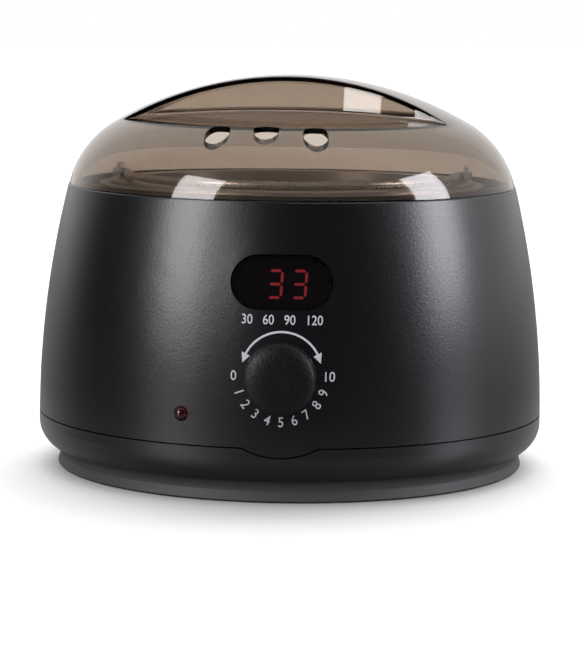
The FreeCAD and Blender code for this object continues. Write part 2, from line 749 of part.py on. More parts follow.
def band_bolt():
    """Bolt that draws the band's ears together."""
    seat = band_ear_face()
    bolt = rod(BAND_BOLT_R, -seat - M4_NUT - 2, seat).fuse(hexagon(M4_FLATS, seat, seat + M4_HEAD))
    return placed(bolt, band_bolt_frame())


def band_nut():
    """Nut of the band's bolt."""
    seat = -band_ear_face()
    nut = hexagon(M4_FLATS, seat - M4_NUT, seat).cut(rod(BAND_BOLT_R, seat - M4_NUT - 1, seat + 1))
    return placed(nut, band_bolt_frame())


def temp_sensor():
    """Temperature sensor in a ring lug, clamped on the stud under the cup."""
    top, low = CUP_FLOOR_Z, CUP_FLOOR_Z - SENSOR_THICK
    half = SENSOR_LUG_R / 2
    lug = rod(SENSOR_LUG_R, low, top)
    strip = block((-half, half), (-SENSOR_REACH, 0), (low, top))
    neck = block((-half / 2, half / 2), (-SENSOR_REACH - 1, -SENSOR_REACH + 1), (low, top))
    bead_end = V(0, -SENSOR_REACH - SENSOR_BEAD_LONG, top - SENSOR_BEAD_R - FUSE_PLAY)
    bead = Part.makeCylinder(SENSOR_BEAD_R, SENSOR_BEAD_LONG, bead_end, V(0, 1, 0))
    return lug.multiFuse([strip, neck, bead]).cut(rod(CENTRE_STUD_R, low - 1, top + 1))


def fuse_clip():
    """Spring strap on the same stud, with a saddle that presses the fuse to the cup's floor."""
    top = CUP_FLOOR_Z - SENSOR_THICK
    low = top - CLIP_THICK
    half = CLIP_WIDE / 2
    saddle_r = FUSE_R + FUSE_PLAY
    fuse_z = CUP_FLOOR_Z - saddle_r
    strap = block((-half, half), (-SENSOR_LUG_R, FUSE_Y - saddle_r), (low, top))
    saddle = Part.makeCylinder(saddle_r + CLIP_THICK, CLIP_WIDE, V(-half, FUSE_Y, fuse_z), V(1, 0, 0))
    saddle = saddle.common(block((-half, half), (0, FUSE_Y + 10), (0, top)))
    hollow = Part.makeCylinder(saddle_r, CLIP_WIDE + 2, V(-half - 1, FUSE_Y, fuse_z), V(1, 0, 0))
    return strap.fuse(saddle).cut(hollow).cut(rod(CENTRE_STUD_R, low - 1, top + 1)).removeSplitter()


def thermal_fuse():
    """Cut-out fuse that lies against the underside of the cup."""
    end = V(-FUSE_LONG / 2, FUSE_Y, CUP_FLOOR_Z - FUSE_R - FUSE_PLAY)
    return Part.makeCylinder(FUSE_R, FUSE_LONG, end, V(1, 0, 0))


def stud_nut():
    """Nut on the stud under the cup."""
    top = CUP_FLOOR_Z - SENSOR_THICK - CLIP_THICK
    return hexagon(M4_FLATS, top - M4_NUT, top).cut(rod(CENTRE_STUD_R, top - M4_NUT - 1, top + 1))


def shaft_section(play, low, high):
    """A shaft with a flat on its front half, or its bore when play is added."""
    bar = rod(SHAFT_R + play, low, high)
    flat = block((-10, 10), (SHAFT_FLAT + play, 10), (HUB_BASE - 0.5, high + 1))
    return bar.cut(flat)


def thermostat_shaft():
    """Spindle of the thermostat."""
    return placed(shaft_section(0.0, SHAFT_BACK, SHAFT_TIP), KNOB_FRAME)


def thermostat_body():
    """Round thermostat with its threaded bush through the wall and two blade terminals behind."""
    body = rod(STAT_R, STAT_BACK, PAD_BACK)
    rim = [edge for edge in body.Edges if abs(edge.CenterOfMass.z - STAT_BACK) < 0.01]
    body = body.makeFillet(STAT_ROUND, rim)
    body = body.fuse(rod(BUSH_R, PAD_BACK, BUSH_TIP))
    body = body.cut(rod(SHAFT_R + SHAFT_PLAY, SHAFT_BACK - 0.5, BUSH_TIP + 1))
    tabs = []
    for side in (-1, 1):
        middle = side * STAT_TAB_X
        near, far = middle - STAT_TAB_HALF_THICK, middle + STAT_TAB_HALF_THICK
        end = STAT_BACK - STAT_TAB_LONG
        tabs.append(block((near, far), (-STAT_TAB_HALF_WIDE, STAT_TAB_HALF_WIDE), (end, STAT_BACK + OVER)))
    return placed(body.multiFuse(tabs), KNOB_FRAME)


def thermostat_nut():
    """Nut that clamps the thermostat to the wall, hidden under the knob."""
    nut = hexagon(NUT_FLATS, 0.0, NUT_THICK).cut(rod(BUSH_R, -1, NUT_THICK + 1))
    return placed(nut, KNOB_FRAME)


def control_knob():
    """Moulded knob: ribbed side, slightly domed plain face, hollow back and a hub on the spindle."""
    face_r = KNOB_R - KNOB_TAPER
    rim_z = KNOB_TOP - KNOB_DOME
    bend = KNOB_ROUND * (1 - math.sqrt(0.5))
    flat_r = face_r - KNOB_ROUND
    crown_r = (flat_r ** 2 + KNOB_DOME ** 2) / (2 * KNOB_DOME)
    half_way = KNOB_TOP - crown_r + math.sqrt(crown_r ** 2 - (flat_r / 2) ** 2)
    cap = section(
        (0, KNOB_BASE),
        (KNOB_R, KNOB_BASE),
        (face_r, rim_z - KNOB_ROUND),
        ((face_r - bend, rim_z - bend), (flat_r, rim_z)),
        ((flat_r / 2, half_way), (0, KNOB_TOP)),
    )
    knob = turned(cap)
    inside_r = face_r - KNOB_SHELL
    hollow = rod(inside_r, KNOB_BASE - 1, rim_z - KNOB_SHELL).cut(rod(HUB_R, HUB_BASE, KNOB_TOP))
    groove = rod(KNOB_GROOVE_R, KNOB_BASE + KNOB_SKIRT, rim_z - KNOB_ROUND - KNOB_SKIRT, KNOB_R)
    tilt = math.degrees(math.atan(KNOB_TAPER / (rim_z - KNOB_BASE)))
    groove.rotate(V(KNOB_R, 0, KNOB_BASE), V(0, 1, 0), -tilt)
    grooves = ring_of(groove, [k * 360 / KNOB_RIBS for k in range(KNOB_RIBS)])
    bore = shaft_section(SHAFT_PLAY, HUB_BASE - 1, SHAFT_TIP + SHAFT_PLAY)
    return placed(knob.cut(hollow).cut(grooves).cut(bore), KNOB_FRAME)


def display_window():
    """Smoked lens that drops into the window frame."""
    lens = stadium(WINDOW_LONG - 2 * WINDOW_PLAY, WINDOW_HIGH - 2 * WINDOW_PLAY, LENS_BACK, LENS_FRONT)
    edges = [edge for edge in lens.Edges if abs(edge.BoundBox.ZMin - LENS_FRONT) < 0.01]
    return placed(lens.makeChamfer(LENS_EDGE, edges), WINDOW_FRAME)


def digit_module():
    """Three-figure segment display block."""
    half_x, half_y = DIGITS_LONG / 2, DIGITS_HIGH / 2
    body = block((-half_x, half_x), (-half_y, half_y), (BOARD_FRONT, DIGITS_FRONT))
    return placed(body, WINDOW_FRAME)


def display_board():
    """Circuit board behind the display, on two posts of the shell."""
    half_x, half_y = BOARD_LONG / 2, BOARD_HIGH / 2
    board = block((-half_x, half_x), (-half_y, half_y), (BOARD_FRONT - BOARD_THICK, BOARD_FRONT))
    corners = [edge for edge in board.Edges if edge.BoundBox.ZLength > BOARD_THICK / 2]
    board = board.makeFillet(BOARD_CORNER, corners)
    for side in (-1, 1):
        hole = rod(BOARD_SCREW_R, BOARD_FRONT - 3, BOARD_FRONT + 1, side * BOARD_SCREW_X)
        board = board.cut(hole)
    return placed(board, WINDOW_FRAME)


def board_parts():
    """Controller chip, wire socket and a round capacitor on the back of the board."""
    back = BOARD_FRONT - BOARD_THICK
    foot = PART_MARGIN - BOARD_HIGH / 2
    chip = block((-CHIP_WIDE / 2, CHIP_WIDE / 2), (0.0, CHIP_HIGH), (back - CHIP_DEEP, back))
    socket = block((-SOCKET_WIDE, 0.0), (foot, foot + SOCKET_HIGH), (back - SOCKET_DEEP, back))
    capacitor = rod(CAPACITOR_R, back - CAPACITOR_DEEP, back, CHIP_WIDE, CHIP_HIGH / 2)
    return Part.makeCompound([placed(piece, WINDOW_FRAME) for piece in (chip, socket, capacitor)])


def board_screws():
    """Two screws that hold the board to its posts."""
    back = BOARD_FRONT - BOARD_THICK
    screws = []
    for side in (-1, 1):
        x = side * BOARD_SCREW_X
        head = rod(BOARD_SCREW_HEAD_R, back - BOARD_SCREW_HEAD, back, x)
        screw = head.fuse(rod(BOARD_SCREW_R, back, BOARD_FRONT + BOARD_SCREW_IN, x))
        screws.append(placed(screw, WINDOW_FRAME))
    return Part.makeCompound(screws)


def indicator_lamp():
    """Round-nosed lamp that looks out through the wall."""
    nose = LAMP_PROUD - LAMP_R
    lamp = rod(LAMP_R, HOLDER_BACK, nose).fuse(Part.makeSphere(LAMP_R, V(0, 0, nose)))
    lamp = lamp.fuse(rod(LAMP_FLANGE_R, LAMP_BACK, HOLDER_BACK)).removeSplitter()
    return placed(lamp, LAMP_FRAME)


def lamp_holder():
    """Collar that carries the lamp behind the wall."""
    return placed(tube(HOLDER_R, LAMP_R + HOLDER_PLAY, HOLDER_BACK, HOLDER_FRONT), LAMP_FRAME)


def cord_gland():
    """Snap-in bush for the mains lead in the rear wall."""
    seat = wall_radius(GLAND_Z - GLAND_FLANGE_R) + GLAND_PLAY
    tip = seat + GLAND_FLANGE
    ridge_front = wall_radius(GLAND_Z, WALL) - GLAND_RIDGE
    face = section(
        (GLAND_BORE_R, GLAND_IN_Y),
        (GLAND_R, GLAND_IN_Y),
        (GLAND_R, ridge_front - GLAND_RIDGE - GLAND_RAMP),
        (GLAND_RIDGE_R, ridge_front - GLAND_RIDGE),
        (GLAND_RIDGE_R, ridge_front),
        (GLAND_R, ridge_front),
        (GLAND_R, seat),
        (GLAND_FLANGE_R, seat),
        (GLAND_FLANGE_R, tip - GLAND_EDGE),
        (GLAND_FLANGE_R - GLAND_EDGE, tip),
        (GLAND_BORE_R, tip),
    )
    return placed(turned(face), GLAND_FRAME)


def block_limits():
    """X, Y and Z limits of the terminal block."""
    low = BASE_FLOOR_Z + BLOCK_FOOT
    return (
        (-BLOCK_LONG / 2, BLOCK_LONG / 2),
        (BLOCK_Y - BLOCK_DEEP / 2, BLOCK_Y + BLOCK_DEEP / 2),
        (low, low + BLOCK_HIGH),
    )


def terminal_block():
    """Ceramic two-pole terminal block, fixed through its middle."""
    x_range, y_range, z_range = block_limits()
    body = block(x_range, y_range, z_range)
    low, top = z_range
    cuts = [
        rod(SCREW_R + HOLE_PLAY, low - OVER, top, 0, BLOCK_Y),
        rod(SCREW_HEAD_R, top - BLOCK_WELL, top + 1, 0, BLOCK_Y),
    ]
    for side in (-1, 1):
        cuts.append(rod(POLE_HOLE_R, top - POLE_DEEP, top + 1, side * BLOCK_POLE_X, BLOCK_Y))
    return body.cut(cuts)


def terminal_screws():
    """The block's two clamp screws."""
    top = block_limits()[2][1]
    low = top - POLE_DEEP + 0.1
    screws = [rod(POLE_HOLE_R - 0.1, low, top - 1, side * BLOCK_POLE_X, BLOCK_Y) for side in (-1, 1)]
    return Part.makeCompound(screws)


def block_screw():
    """Screw that holds the terminal block to the base."""
    seat = block_limits()[2][1] - BLOCK_WELL
    shank = rod(SCREW_R, BASE_FLOOR_Z + 1, seat, 0, BLOCK_Y)
    return shank.fuse(rod(SCREW_HEAD_R - HOLE_PLAY, seat, seat + SCREW_HEAD, 0, BLOCK_Y))


def lead(points):
    """An insulated lead along straight runs that are joined by round bends."""
    edges = []
    here = points[0]
    for before, corner, after in zip(points, points[1:], points[2:]):
        back = (before - corner).normalize()
        ahead = (after - corner).normalize()
        half = back.getAngle(ahead) / 2
        reach = LEAD_BEND / math.tan(half)
        bisector = (back + ahead).normalize()
        middle = corner + bisector * (LEAD_BEND / math.sin(half) - LEAD_BEND)
        start, end = corner + back * reach, corner + ahead * reach
        edges.append(Part.LineSegment(here, start).toShape())
        edges.append(Part.Arc(start, middle, end).toShape())
        here = end
    edges.append(Part.LineSegment(here, points[-1]).toShape())
    ring = Part.Wire(Part.makeCircle(LEAD_R, points[0], points[1] - points[0]))
    return Part.Wire(edges).makePipeShell([ring], True, False)


def lead_wires():
    """Leads between the terminal block, thermostat, heater, board and lamp, laid below the cup."""
    y_front = block_limits()[1][0]
    pole_z = block_limits()[2][0] + 5.0
    low_z = BASE_FLOOR_Z + LEAD_R + 4.0
    tab_end = STAT_BACK - STAT_TAB_LONG
    left_tab = KNOB_FRAME.multVec(V(-STAT_TAB_X, 0, tab_end))
    right_tab = KNOB_FRAME.multVec(V(STAT_TAB_X, 0, tab_end))
    inward = KNOB_FRAME.multVec(V(0, 0, -1)) - KNOB_FRAME.multVec(V(0, 0, 0))
    board_foot = WINDOW_FRAME.multVec(V(BOARD_LEAD_X, -BOARD_HIGH / 2, BOARD_FRONT - BOARD_THICK / 2))
    board_left = WINDOW_FRAME.multVec(V(-BOARD_LEAD_X, -BOARD_HIGH / 2, BOARD_FRONT - BOARD_THICK / 2))
    board_down = WINDOW_FRAME.multVec(V(0, -1, 0)) - WINDOW_FRAME.multVec(V(0, 0, 0))
    lamp_back = LAMP_FRAME.multVec(V(0, 0, LAMP_BACK))
    lamp_in = LAMP_FRAME.multVec(V(0, 0, -1)) - LAMP_FRAME.multVec(V(0, 0, 0))
    post_r = BAND_R + BAND_THICK + BAND_POST_LONG - 2.5
    post_low = BAND_POST_Z - BAND_POST_R

    def post_foot(side):
        turn = math.radians(side * BAND_POST_DEG)
        return V(post_r * math.cos(turn), post_r * math.sin(turn), post_low)

    live = [
        V(-BLOCK_POLE_X, y_front, pole_z),
        V(-BLOCK_POLE_X, y_front - 22, pole_z),
        V(-30, 0, low_z),
        left_tab + inward * LEAD_RUN + V(-8, 0, -26),
        left_tab + inward * LEAD_RUN,
        left_tab,
    ]
    to_heater = [
        right_tab,
        right_tab + inward * LEAD_RUN,
        right_tab + inward * 8 + V(8, 0, -22),
        V(post_r - 2, -26, 22),
        post_foot(-1) - V(0, 0, 18),
        post_foot(-1),
    ]
    neutral = [
        post_foot(1),
        post_foot(1) - V(0, 0, 24),
        V(46, 26, low_z),
        V(BLOCK_POLE_X + 2, y_front - 22, pole_z),
        V(BLOCK_POLE_X + 2, y_front, pole_z),
    ]
    board_supply = [
        board_foot,
        board_foot + board_down * 26,
        V(24, -52, low_z + 8),
        V(14, 0, low_z),
        V(BLOCK_POLE_X - 3, y_front - 20, pole_z - 1),
        V(BLOCK_POLE_X - 3, y_front, pole_z - 1),
    ]
    to_lamp = [
        lamp_back,
        lamp_back + lamp_in * 10,
        board_left + board_down * 12,
        board_left,
    ]
    return Part.makeCompound([lead(route) for route in (live, to_heater, neutral, board_supply, to_lamp)])


NODES = {
    "lid": lid,
    "inner_pot": inner_pot,
    "bail_ears": bail_ears,
    "ear_rivets": ear_rivets,
    "bail_handle": bail_handle,
    "body_shell": body_shell,
    "base_cover": base_cover,
    "foot_ring": foot_ring,
    "base_screws": base_screws,
    "cup_gasket": cup_gasket,
    "heating_cup": heating_cup,
    "flange_nuts": flange_nuts,
    "heater_band": heater_band,
    "band_bolt": band_bolt,
    "band_nut": band_nut,
    "temp_sensor": temp_sensor,
    "fuse_clip": fuse_clip,
    "thermal_fuse": thermal_fuse,
    "stud_nut": stud_nut,
    "thermostat_body": thermostat_body,
    "thermostat_nut": thermostat_nut,
    "thermostat_shaft": thermostat_shaft,
    "control_knob": control_knob,
    "display_window": display_window,
    "digit_module": digit_module,
    "display_board": display_board,
    "board_parts": board_parts,
    "board_screws": board_screws,
    "indicator_lamp": indicator_lamp,
    "lamp_holder": lamp_holder,
    "cord_gland": cord_gland,
    "terminal_block": terminal_block,
    "terminal_screws": terminal_screws,
    "block_screw": block_screw,
    "lead_wires": lead_wires,
}

os.makedirs("parts", exist_ok=True)
for name, make in NODES.items():
    shape = make()
    shape.exportStep(f"parts/{name}.step")
    print(name, len(shape.Solids), round(shape.Volume, 1), shape.isValid())
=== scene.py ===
import logging
import math
from dataclasses import dataclass, field
from enum import Enum
from typing import Any

import bmesh
import bpy
import numpy as np
from bpy.types import Material, Mesh, NodeSocket, NodeTree, Object, World
from mathutils import Matrix


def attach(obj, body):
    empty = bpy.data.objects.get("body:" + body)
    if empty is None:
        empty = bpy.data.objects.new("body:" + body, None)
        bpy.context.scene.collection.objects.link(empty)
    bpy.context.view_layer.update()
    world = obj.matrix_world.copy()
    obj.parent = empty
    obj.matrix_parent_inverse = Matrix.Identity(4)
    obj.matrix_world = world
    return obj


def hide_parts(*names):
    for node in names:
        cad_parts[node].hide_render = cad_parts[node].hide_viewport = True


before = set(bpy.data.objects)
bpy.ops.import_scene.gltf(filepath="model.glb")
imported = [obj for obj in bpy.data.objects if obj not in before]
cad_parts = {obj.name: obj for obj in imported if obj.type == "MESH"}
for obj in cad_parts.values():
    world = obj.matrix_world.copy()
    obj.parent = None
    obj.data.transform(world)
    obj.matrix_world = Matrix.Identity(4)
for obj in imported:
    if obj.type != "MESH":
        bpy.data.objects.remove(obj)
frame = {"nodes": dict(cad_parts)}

# Looks of a table-top wax warmer. Lengths are millimetres until a mesh is made, then metres.
MM = 0.001
# Distance within which points are welded, and shortest edge kept, in metres.
WELD, SLIVER = 2e-6, 1e-7
# Sockets of a colour mix: its two colours and its result.
MIX_A, MIX_B, MIXED = 6, 7, 2
# Scale of a wave texture whose bands are one metre wide; a narrower band divides it.
BAND_SCALE = 2 * math.pi / 20
# Range in which most values of a noise texture lie.
NOISE_RANGE = {"From Min": 0.3, "From Max": 0.7}
# An angle this much short of a limit counts as on it.
HAIR = 1e-9
LOG = logging.getLogger("wax_warmer")
Array = np.ndarray


class Face(Enum):
    """The two faces of the lid's wall, with the share of the wall that each lies inside the outer one."""

    OUTER = 0.0
    INNER = 1.0


class Segment(Enum):
    """The lit bars of a seven-bar figure, as start and end on a grid of half figures."""

    TOP = ((0, 2), (1, 2))
    UPPER_RIGHT = ((1, 2), (1, 1))
    LOWER_RIGHT = ((1, 1), (1, 0))
    BOTTOM = ((0, 0), (1, 0))
    MIDDLE = ((0, 1), (1, 1))


def linear(code: str) -> tuple[float, float, float, float]:
    """Turns an sRGB hex colour into linear RGBA.

    Args:
        code: the colour as #rrggbb.

    Returns:
        Linear red, green, blue and a full alpha.
    """
    parts = np.array([int(code[i:i + 2], 16) for i in (1, 3, 5)]) / 255
    r, g, b = np.where(parts <= 0.04045, parts / 12.92, ((parts + 0.055) / 1.055) ** 2.4)
    return float(r), float(g), float(b), 1.0


def add_node(tree: NodeTree, kind: str, inputs: dict[Any, Any] | None = None, **settings: Any) -> Any:
    """Adds one node with its settings and links.

    Args:
        tree: the node tree.
        kind: the shader node's type.
        inputs: socket name or number to a value, or to the socket that feeds it.
        settings: the node's own properties.

    Returns:
        The new node.
    """
    node = tree.nodes.new("ShaderNode" + kind)
    for name, value in settings.items():
        setattr(node, name, value)
    for key, value in (inputs or {}).items():
        if isinstance(value, NodeSocket):
            tree.links.new(value, node.inputs[key])
        else:
            node.inputs[key].default_value = value
    return node


@dataclass(frozen=True)
class Finish:
    """A surface: the material's name, its colour and its gloss."""

    name: str
    colour: str
    roughness: float

    def start(self, constants: dict[str, Any]) -> tuple[Material, NodeTree, Any, NodeSocket]:
        """Makes the material with its shader.

        Args:
            constants: values of the shader's inputs beside colour and roughness.

        Returns:
            The material, its tree, its shader and the socket of Object coordinates.
        """
        material = bpy.data.materials.new(self.name)
        material.use_nodes = True
        tree = material.node_tree
        tree.nodes.clear()
        shader = add_node(tree, "BsdfPrincipled", {
            "Base Color": linear(self.colour), "Roughness": self.roughness, **constants})
        add_node(tree, "OutputMaterial", {"Surface": shader.outputs["BSDF"]})
        place = add_node(tree, "TexCoord").outputs["Object"]
        return material, tree, shader, place


@dataclass(frozen=True)
class MouldedPlastic(Finish):
    """A moulding from a spark-eroded tool: fine even grain, gloss that varies with it, faint mottling."""

    grain_mm: float = 0.45
    relief_mm: float = 0.012
    gloss_spread: float = 0.05
    pale: str = "#ffffff"
    mottle: float = 0.02
    mottle_mm: float = 14.0
    ior: float = 1.5

    def material(self) -> Material:
        """Builds the material: noise grain drives bump and roughness, broad noise the colour.

        Returns:
            The material.
        """
        material, tree, shader, place = self.start({"IOR": self.ior})
        # The grain is drawn coarser than life, so that it shows.
        grain = add_node(tree, "TexNoise", {
            "Vector": place, "Scale": 1 / (self.grain_mm * MM), "Roughness": 0.6})
        cloud = add_node(tree, "TexNoise", {
            "Vector": place, "Scale": 1 / (self.mottle_mm * MM), "Detail": 3.0})
        share = add_node(tree, "MapRange", {
            "Value": cloud.outputs["Fac"], **NOISE_RANGE, "To Max": self.mottle})
        colour = add_node(tree, "Mix", {
            0: share.outputs["Result"], MIX_A: linear(self.colour), MIX_B: linear(self.pale)},
            data_type="RGBA")
        gloss = add_node(tree, "MapRange", {
            "Value": grain.outputs["Fac"], **NOISE_RANGE, "To Min": self.roughness - self.gloss_spread,
            "To Max": self.roughness + self.gloss_spread})
        bump = add_node(tree, "Bump", {
            "Height": grain.outputs["Fac"], "Distance": self.relief_mm * MM})
        tree.links.new(colour.outputs[MIXED], shader.inputs["Base Color"])
        tree.links.new(gloss.outputs["Result"], shader.inputs["Roughness"])
        tree.links.new(bump.outputs["Normal"], shader.inputs["Normal"])
        return material


@dataclass(frozen=True)
class ClearPlastic(Finish):
    """Tinted plastic from a polished tool: clear, with faint flow waves and a tint that gains with depth."""

    pale: str = "#ffffff"
    depth: str = "#ffffff"
    depth_per_m: float = 0.0
    drift: float = 0.06
    drift_mm: float = 45.0
    wave_mm: float = 22.0
    wave_depth_mm: float = 0.004
    ior: float = 1.49
    haze: float = 0.0

    def material(self) -> Material:
        """Builds the material: transmission less haze, tint by broad noise and depth, waves as a low bump.

        Returns:
            The material.
        """
        material, tree, shader, place = self.start({"IOR": self.ior, "Transmission Weight": 1.0 - self.haze})
        cloud = add_node(tree, "TexNoise", {
            "Vector": place, "Scale": 1 / (self.drift_mm * MM), "Detail": 1.0})
        share = add_node(tree, "MapRange", {
            "Value": cloud.outputs["Fac"], **NOISE_RANGE, "To Max": self.drift})
        colour = add_node(tree, "Mix", {
            0: share.outputs["Result"], MIX_A: linear(self.colour), MIX_B: linear(self.pale)},
            data_type="RGBA")
        waves = add_node(tree, "TexNoise", {
            "Vector": place, "Scale": 1 / (self.wave_mm * MM), "Detail": 0.0})
        bump = add_node(tree, "Bump", {
            "Height": waves.outputs["Fac"], "Distance": self.wave_depth_mm * MM})
        tree.links.new(colour.outputs[MIXED], shader.inputs["Base Color"])
        tree.links.new(bump.outputs["Normal"], shader.inputs["Normal"])
        if self.depth_per_m > 0:
            inside = add_node(tree, "VolumeAbsorption", {
                "Color": linear(self.depth), "Density": self.depth_per_m})
            tree.links.new(inside.outputs["Volume"], tree.nodes["Material Output"].inputs["Volume"])
        return material


@dataclass(frozen=True)
class SpunMetal(Finish):
    """Sheet metal spun on a lathe: bright, with fine rings about the upright axis left by the tool."""

    ring_mm: float = 1.1
    relief_mm: float = 0.004
    gloss_spread: float = 0.06

    def material(self) -> Material:
        """Builds the material: a wave along radius plus height drives bump and roughness.

        Returns:
            The material.
        """
        material, tree, shader, place = self.start({"Metallic": 1.0})
        flat = add_node(tree, "VectorMath", {0: place, 1: (1.0, 1.0, 0.0)}, operation="MULTIPLY")
        radius = add_node(tree, "VectorMath", {0: flat.outputs["Vector"]}, operation="LENGTH")
        height = add_node(tree, "VectorMath", {0: place, 1: (0.0, 0.0, 1.0)}, operation="DOT_PRODUCT")
        travel = add_node(tree, "Math", {0: radius.outputs["Value"], 1: height.outputs["Value"]})
        along = add_node(tree, "CombineXYZ", {"X": travel.outputs["Value"]})
        # The rings are drawn coarser than life.
        rings = add_node(tree, "TexWave", {
            "Vector": along.outputs["Vector"], "Scale": BAND_SCALE / (self.ring_mm * MM), "Distortion": 1.2,
            "Detail Scale": 0.6})
        gloss = add_node(tree, "MapRange", {
            "Value": rings.outputs["Fac"], "To Min": self.roughness - self.gloss_spread,
            "To Max": self.roughness + self.gloss_spread})
        bump = add_node(tree, "Bump", {
            "Height": rings.outputs["Fac"], "Distance": self.relief_mm * MM})
        tree.links.new(gloss.outputs["Result"], shader.inputs["Roughness"])
        tree.links.new(bump.outputs["Normal"], shader.inputs["Normal"])
        return material


@dataclass(frozen=True)
class PlatedMetal(Finish):
    """Drawn or pressed metal with plating: cloudy gloss and short fine scratches."""

    scratch_mm: float = 0.3
    cloud_mm: float = 5.0
    gloss_spread: float = 0.1
    relief_mm: float = 0.004
    stretch: float = 8.0

    def material(self) -> Material:
        """Builds the material: broad noise clouds the gloss, stretched noise gives the scratches.

        Returns:
            The material.
        """
        material, tree, shader, place = self.start({"Metallic": 1.0})
        cloud = add_node(tree, "TexNoise", {
            "Vector": place, "Scale": 1 / (self.cloud_mm * MM), "Detail": 3.0})
        gloss = add_node(tree, "MapRange", {
            "Value": cloud.outputs["Fac"], **NOISE_RANGE, "To Min": self.roughness - self.gloss_spread,
            "To Max": self.roughness + self.gloss_spread})
        along = add_node(tree, "Mapping", {"Vector": place, "Scale": (1.0, self.stretch, self.stretch)})
        # The scratches are drawn coarser than life.
        scratch = add_node(tree, "TexNoise", {
            "Vector": along.outputs["Vector"], "Scale": 1 / (self.stretch * self.scratch_mm * MM)})
        bump = add_node(tree, "Bump", {
            "Height": scratch.outputs["Fac"], "Distance": self.relief_mm * MM})
        tree.links.new(gloss.outputs["Result"], shader.inputs["Roughness"])
        tree.links.new(bump.outputs["Normal"], shader.inputs["Normal"])
        return material


@dataclass(frozen=True)
class BraidedSleeve(Finish):
    """Glass-fibre sleeving: two sets of slanted yarns that cross, matt, with painted shade in the hollows
    between the yarns.
    """

    yarn_mm: float = 0.8
    # Painted shade in the hollows between the yarns.
    dark: str = "#8d8a80"
    relief_mm: float = 0.08
    slant: float = 0.8

    def material(self) -> Material:
        """Builds the material: two crossed band waves multiplied give the braid, and darken its hollows as
        painted shade.

        Returns:
            The material.
        """
        material, tree, shader, place = self.start({})
        sets = []
        for turn in (self.slant, -self.slant):
            aslant = add_node(tree, "Mapping", {"Vector": place, "Rotation": (turn, turn, turn)})
            yarns = add_node(tree, "TexWave", {
                "Vector": aslant.outputs["Vector"], "Scale": BAND_SCALE / (self.yarn_mm * MM)})
            sets.append(yarns.outputs["Fac"])
        braid = add_node(tree, "Math", {0: sets[0], 1: sets[1]}, operation="MULTIPLY")
        # Painted shade: the braid's low parts, its hollows, take the dark colour.
        colour = add_node(tree, "Mix", {
            0: braid.outputs["Value"], MIX_A: linear(self.dark), MIX_B: linear(self.colour)},
            data_type="RGBA")
        bump = add_node(tree, "Bump", {
            "Height": braid.outputs["Value"], "Distance": self.relief_mm * MM})
        tree.links.new(colour.outputs[MIXED], shader.inputs["Base Color"])
        tree.links.new(bump.outputs["Normal"], shader.inputs["Normal"])
        return material


@dataclass(frozen=True)
class CircuitBoard(Finish):
    """Glass-epoxy board under green solder mask, with paler tracks that show through it."""

    track: str = "#3f7d4c"
    track_mm: float = 2.2

    def material(self) -> Material:
        """Builds the material: brick joints stand for the tracks.

        Returns:
            The material.
        """
        material, tree, shader, place = self.start({})
        upright = add_node(tree, "Mapping", {"Vector": place, "Rotation": (math.pi / 2, 0.0, 0.0)})
        mask = linear(self.colour)
        # A row of bricks is a quarter of the texture's unit.
        tracks = add_node(tree, "TexBrick", {
            "Vector": upright.outputs["Vector"], "Color1": mask, "Color2": mask, "Mortar": linear(self.track),
            "Scale": 1 / (4 * self.track_mm * MM), "Mortar Size": 0.03})
        tree.links.new(tracks.outputs["Color"], shader.inputs["Base Color"])
        return material


@dataclass(frozen=True)
class LitBar(Finish):
    """A lit bar of the figure display: a light pipe that glows evenly."""

    strength: float = 1.0

    def material(self) -> Material:
        """Builds the material: emission of the bar's colour."""
        return self.start({"Emission Color": linear(self.colour), "Emission Strength": self.strength})[0]


# ABS, moulded in a spark-eroded tool: deep black with a soft satin highlight.
HOUSING = MouldedPlastic(
    "abs_black_satin", "#08080d", 0.3, grain_mm=0.8, relief_mm=0.04, gloss_spread=0.02, pale="#3a3a42",
    ior=1.56)
# Thermoplastic rubber: dull, paler than the housing.
FOOT = MouldedPlastic(
    "rubber_dark_grey", "#404042", 0.6, grain_mm=0.8, relief_mm=0.02, pale="#5a5a5a", mottle=0.1)
# ABS knob: the same black with a coarser, duller grain.
KNOB = MouldedPlastic(
    "abs_black_knob", "#0a0a0b", 0.45, grain_mm=0.9, relief_mm=0.14, gloss_spread=0.08, pale="#44444a",
    ior=1.34)
# Acrylic, tinted brown: glass-clear and glossy.
SMOKE = ClearPlastic("acrylic_smoke", "#d7d1cb", 0.0, pale="#ddd7d1", depth="#9c7107", depth_per_m=250.0)
# Acrylic display filter: almost black, a little hazy.
LENS = ClearPlastic(
    "acrylic_display_filter", "#3c3638", 0.02, pale="#423c3e", drift_mm=20.0, wave_depth_mm=0.001,
    haze=0.06)
# Epoxy lamp lens, diffused: dark red when unlit, cloudy.
LAMP = ClearPlastic(
    "epoxy_red_lamp", "#641420", 0.14, pale="#6e1a26", drift_mm=3.0, wave_depth_mm=0.0005, ior=1.53,
    haze=0.2)
# Aluminium, spun: bright, with turning marks.
POT = SpunMetal("aluminium_spun_pot", "#cfd0d2", 0.36)
CUP = SpunMetal("aluminium_spun_cup", "#b8b9bb", 0.42, ring_mm=1.4)
# Aluminium rivets, cold headed: bright, a little cloudy.
RIVET = PlatedMetal("aluminium_rivet", "#bfc0c2", 0.3)
# Zinc-plated steel: greyish and slightly cloudy.
STEEL = PlatedMetal("steel_zinc_plated", "#b9babd", 0.28)
# Stainless strip round the heater: bright, rolled.
BAND = PlatedMetal("stainless_strip", "#a9a8a6", 0.3, cloud_mm=9.0)
# Brass: yellow, lightly tarnished.
BRASS = PlatedMetal("brass_terminal", "#b8954f", 0.32)
# Silicone rubber: dark grey, matt.
SILICONE = MouldedPlastic("silicone_grey", "#3b3836", 0.55, grain_mm=1.0, pale="#6a6562", mottle=0.15)
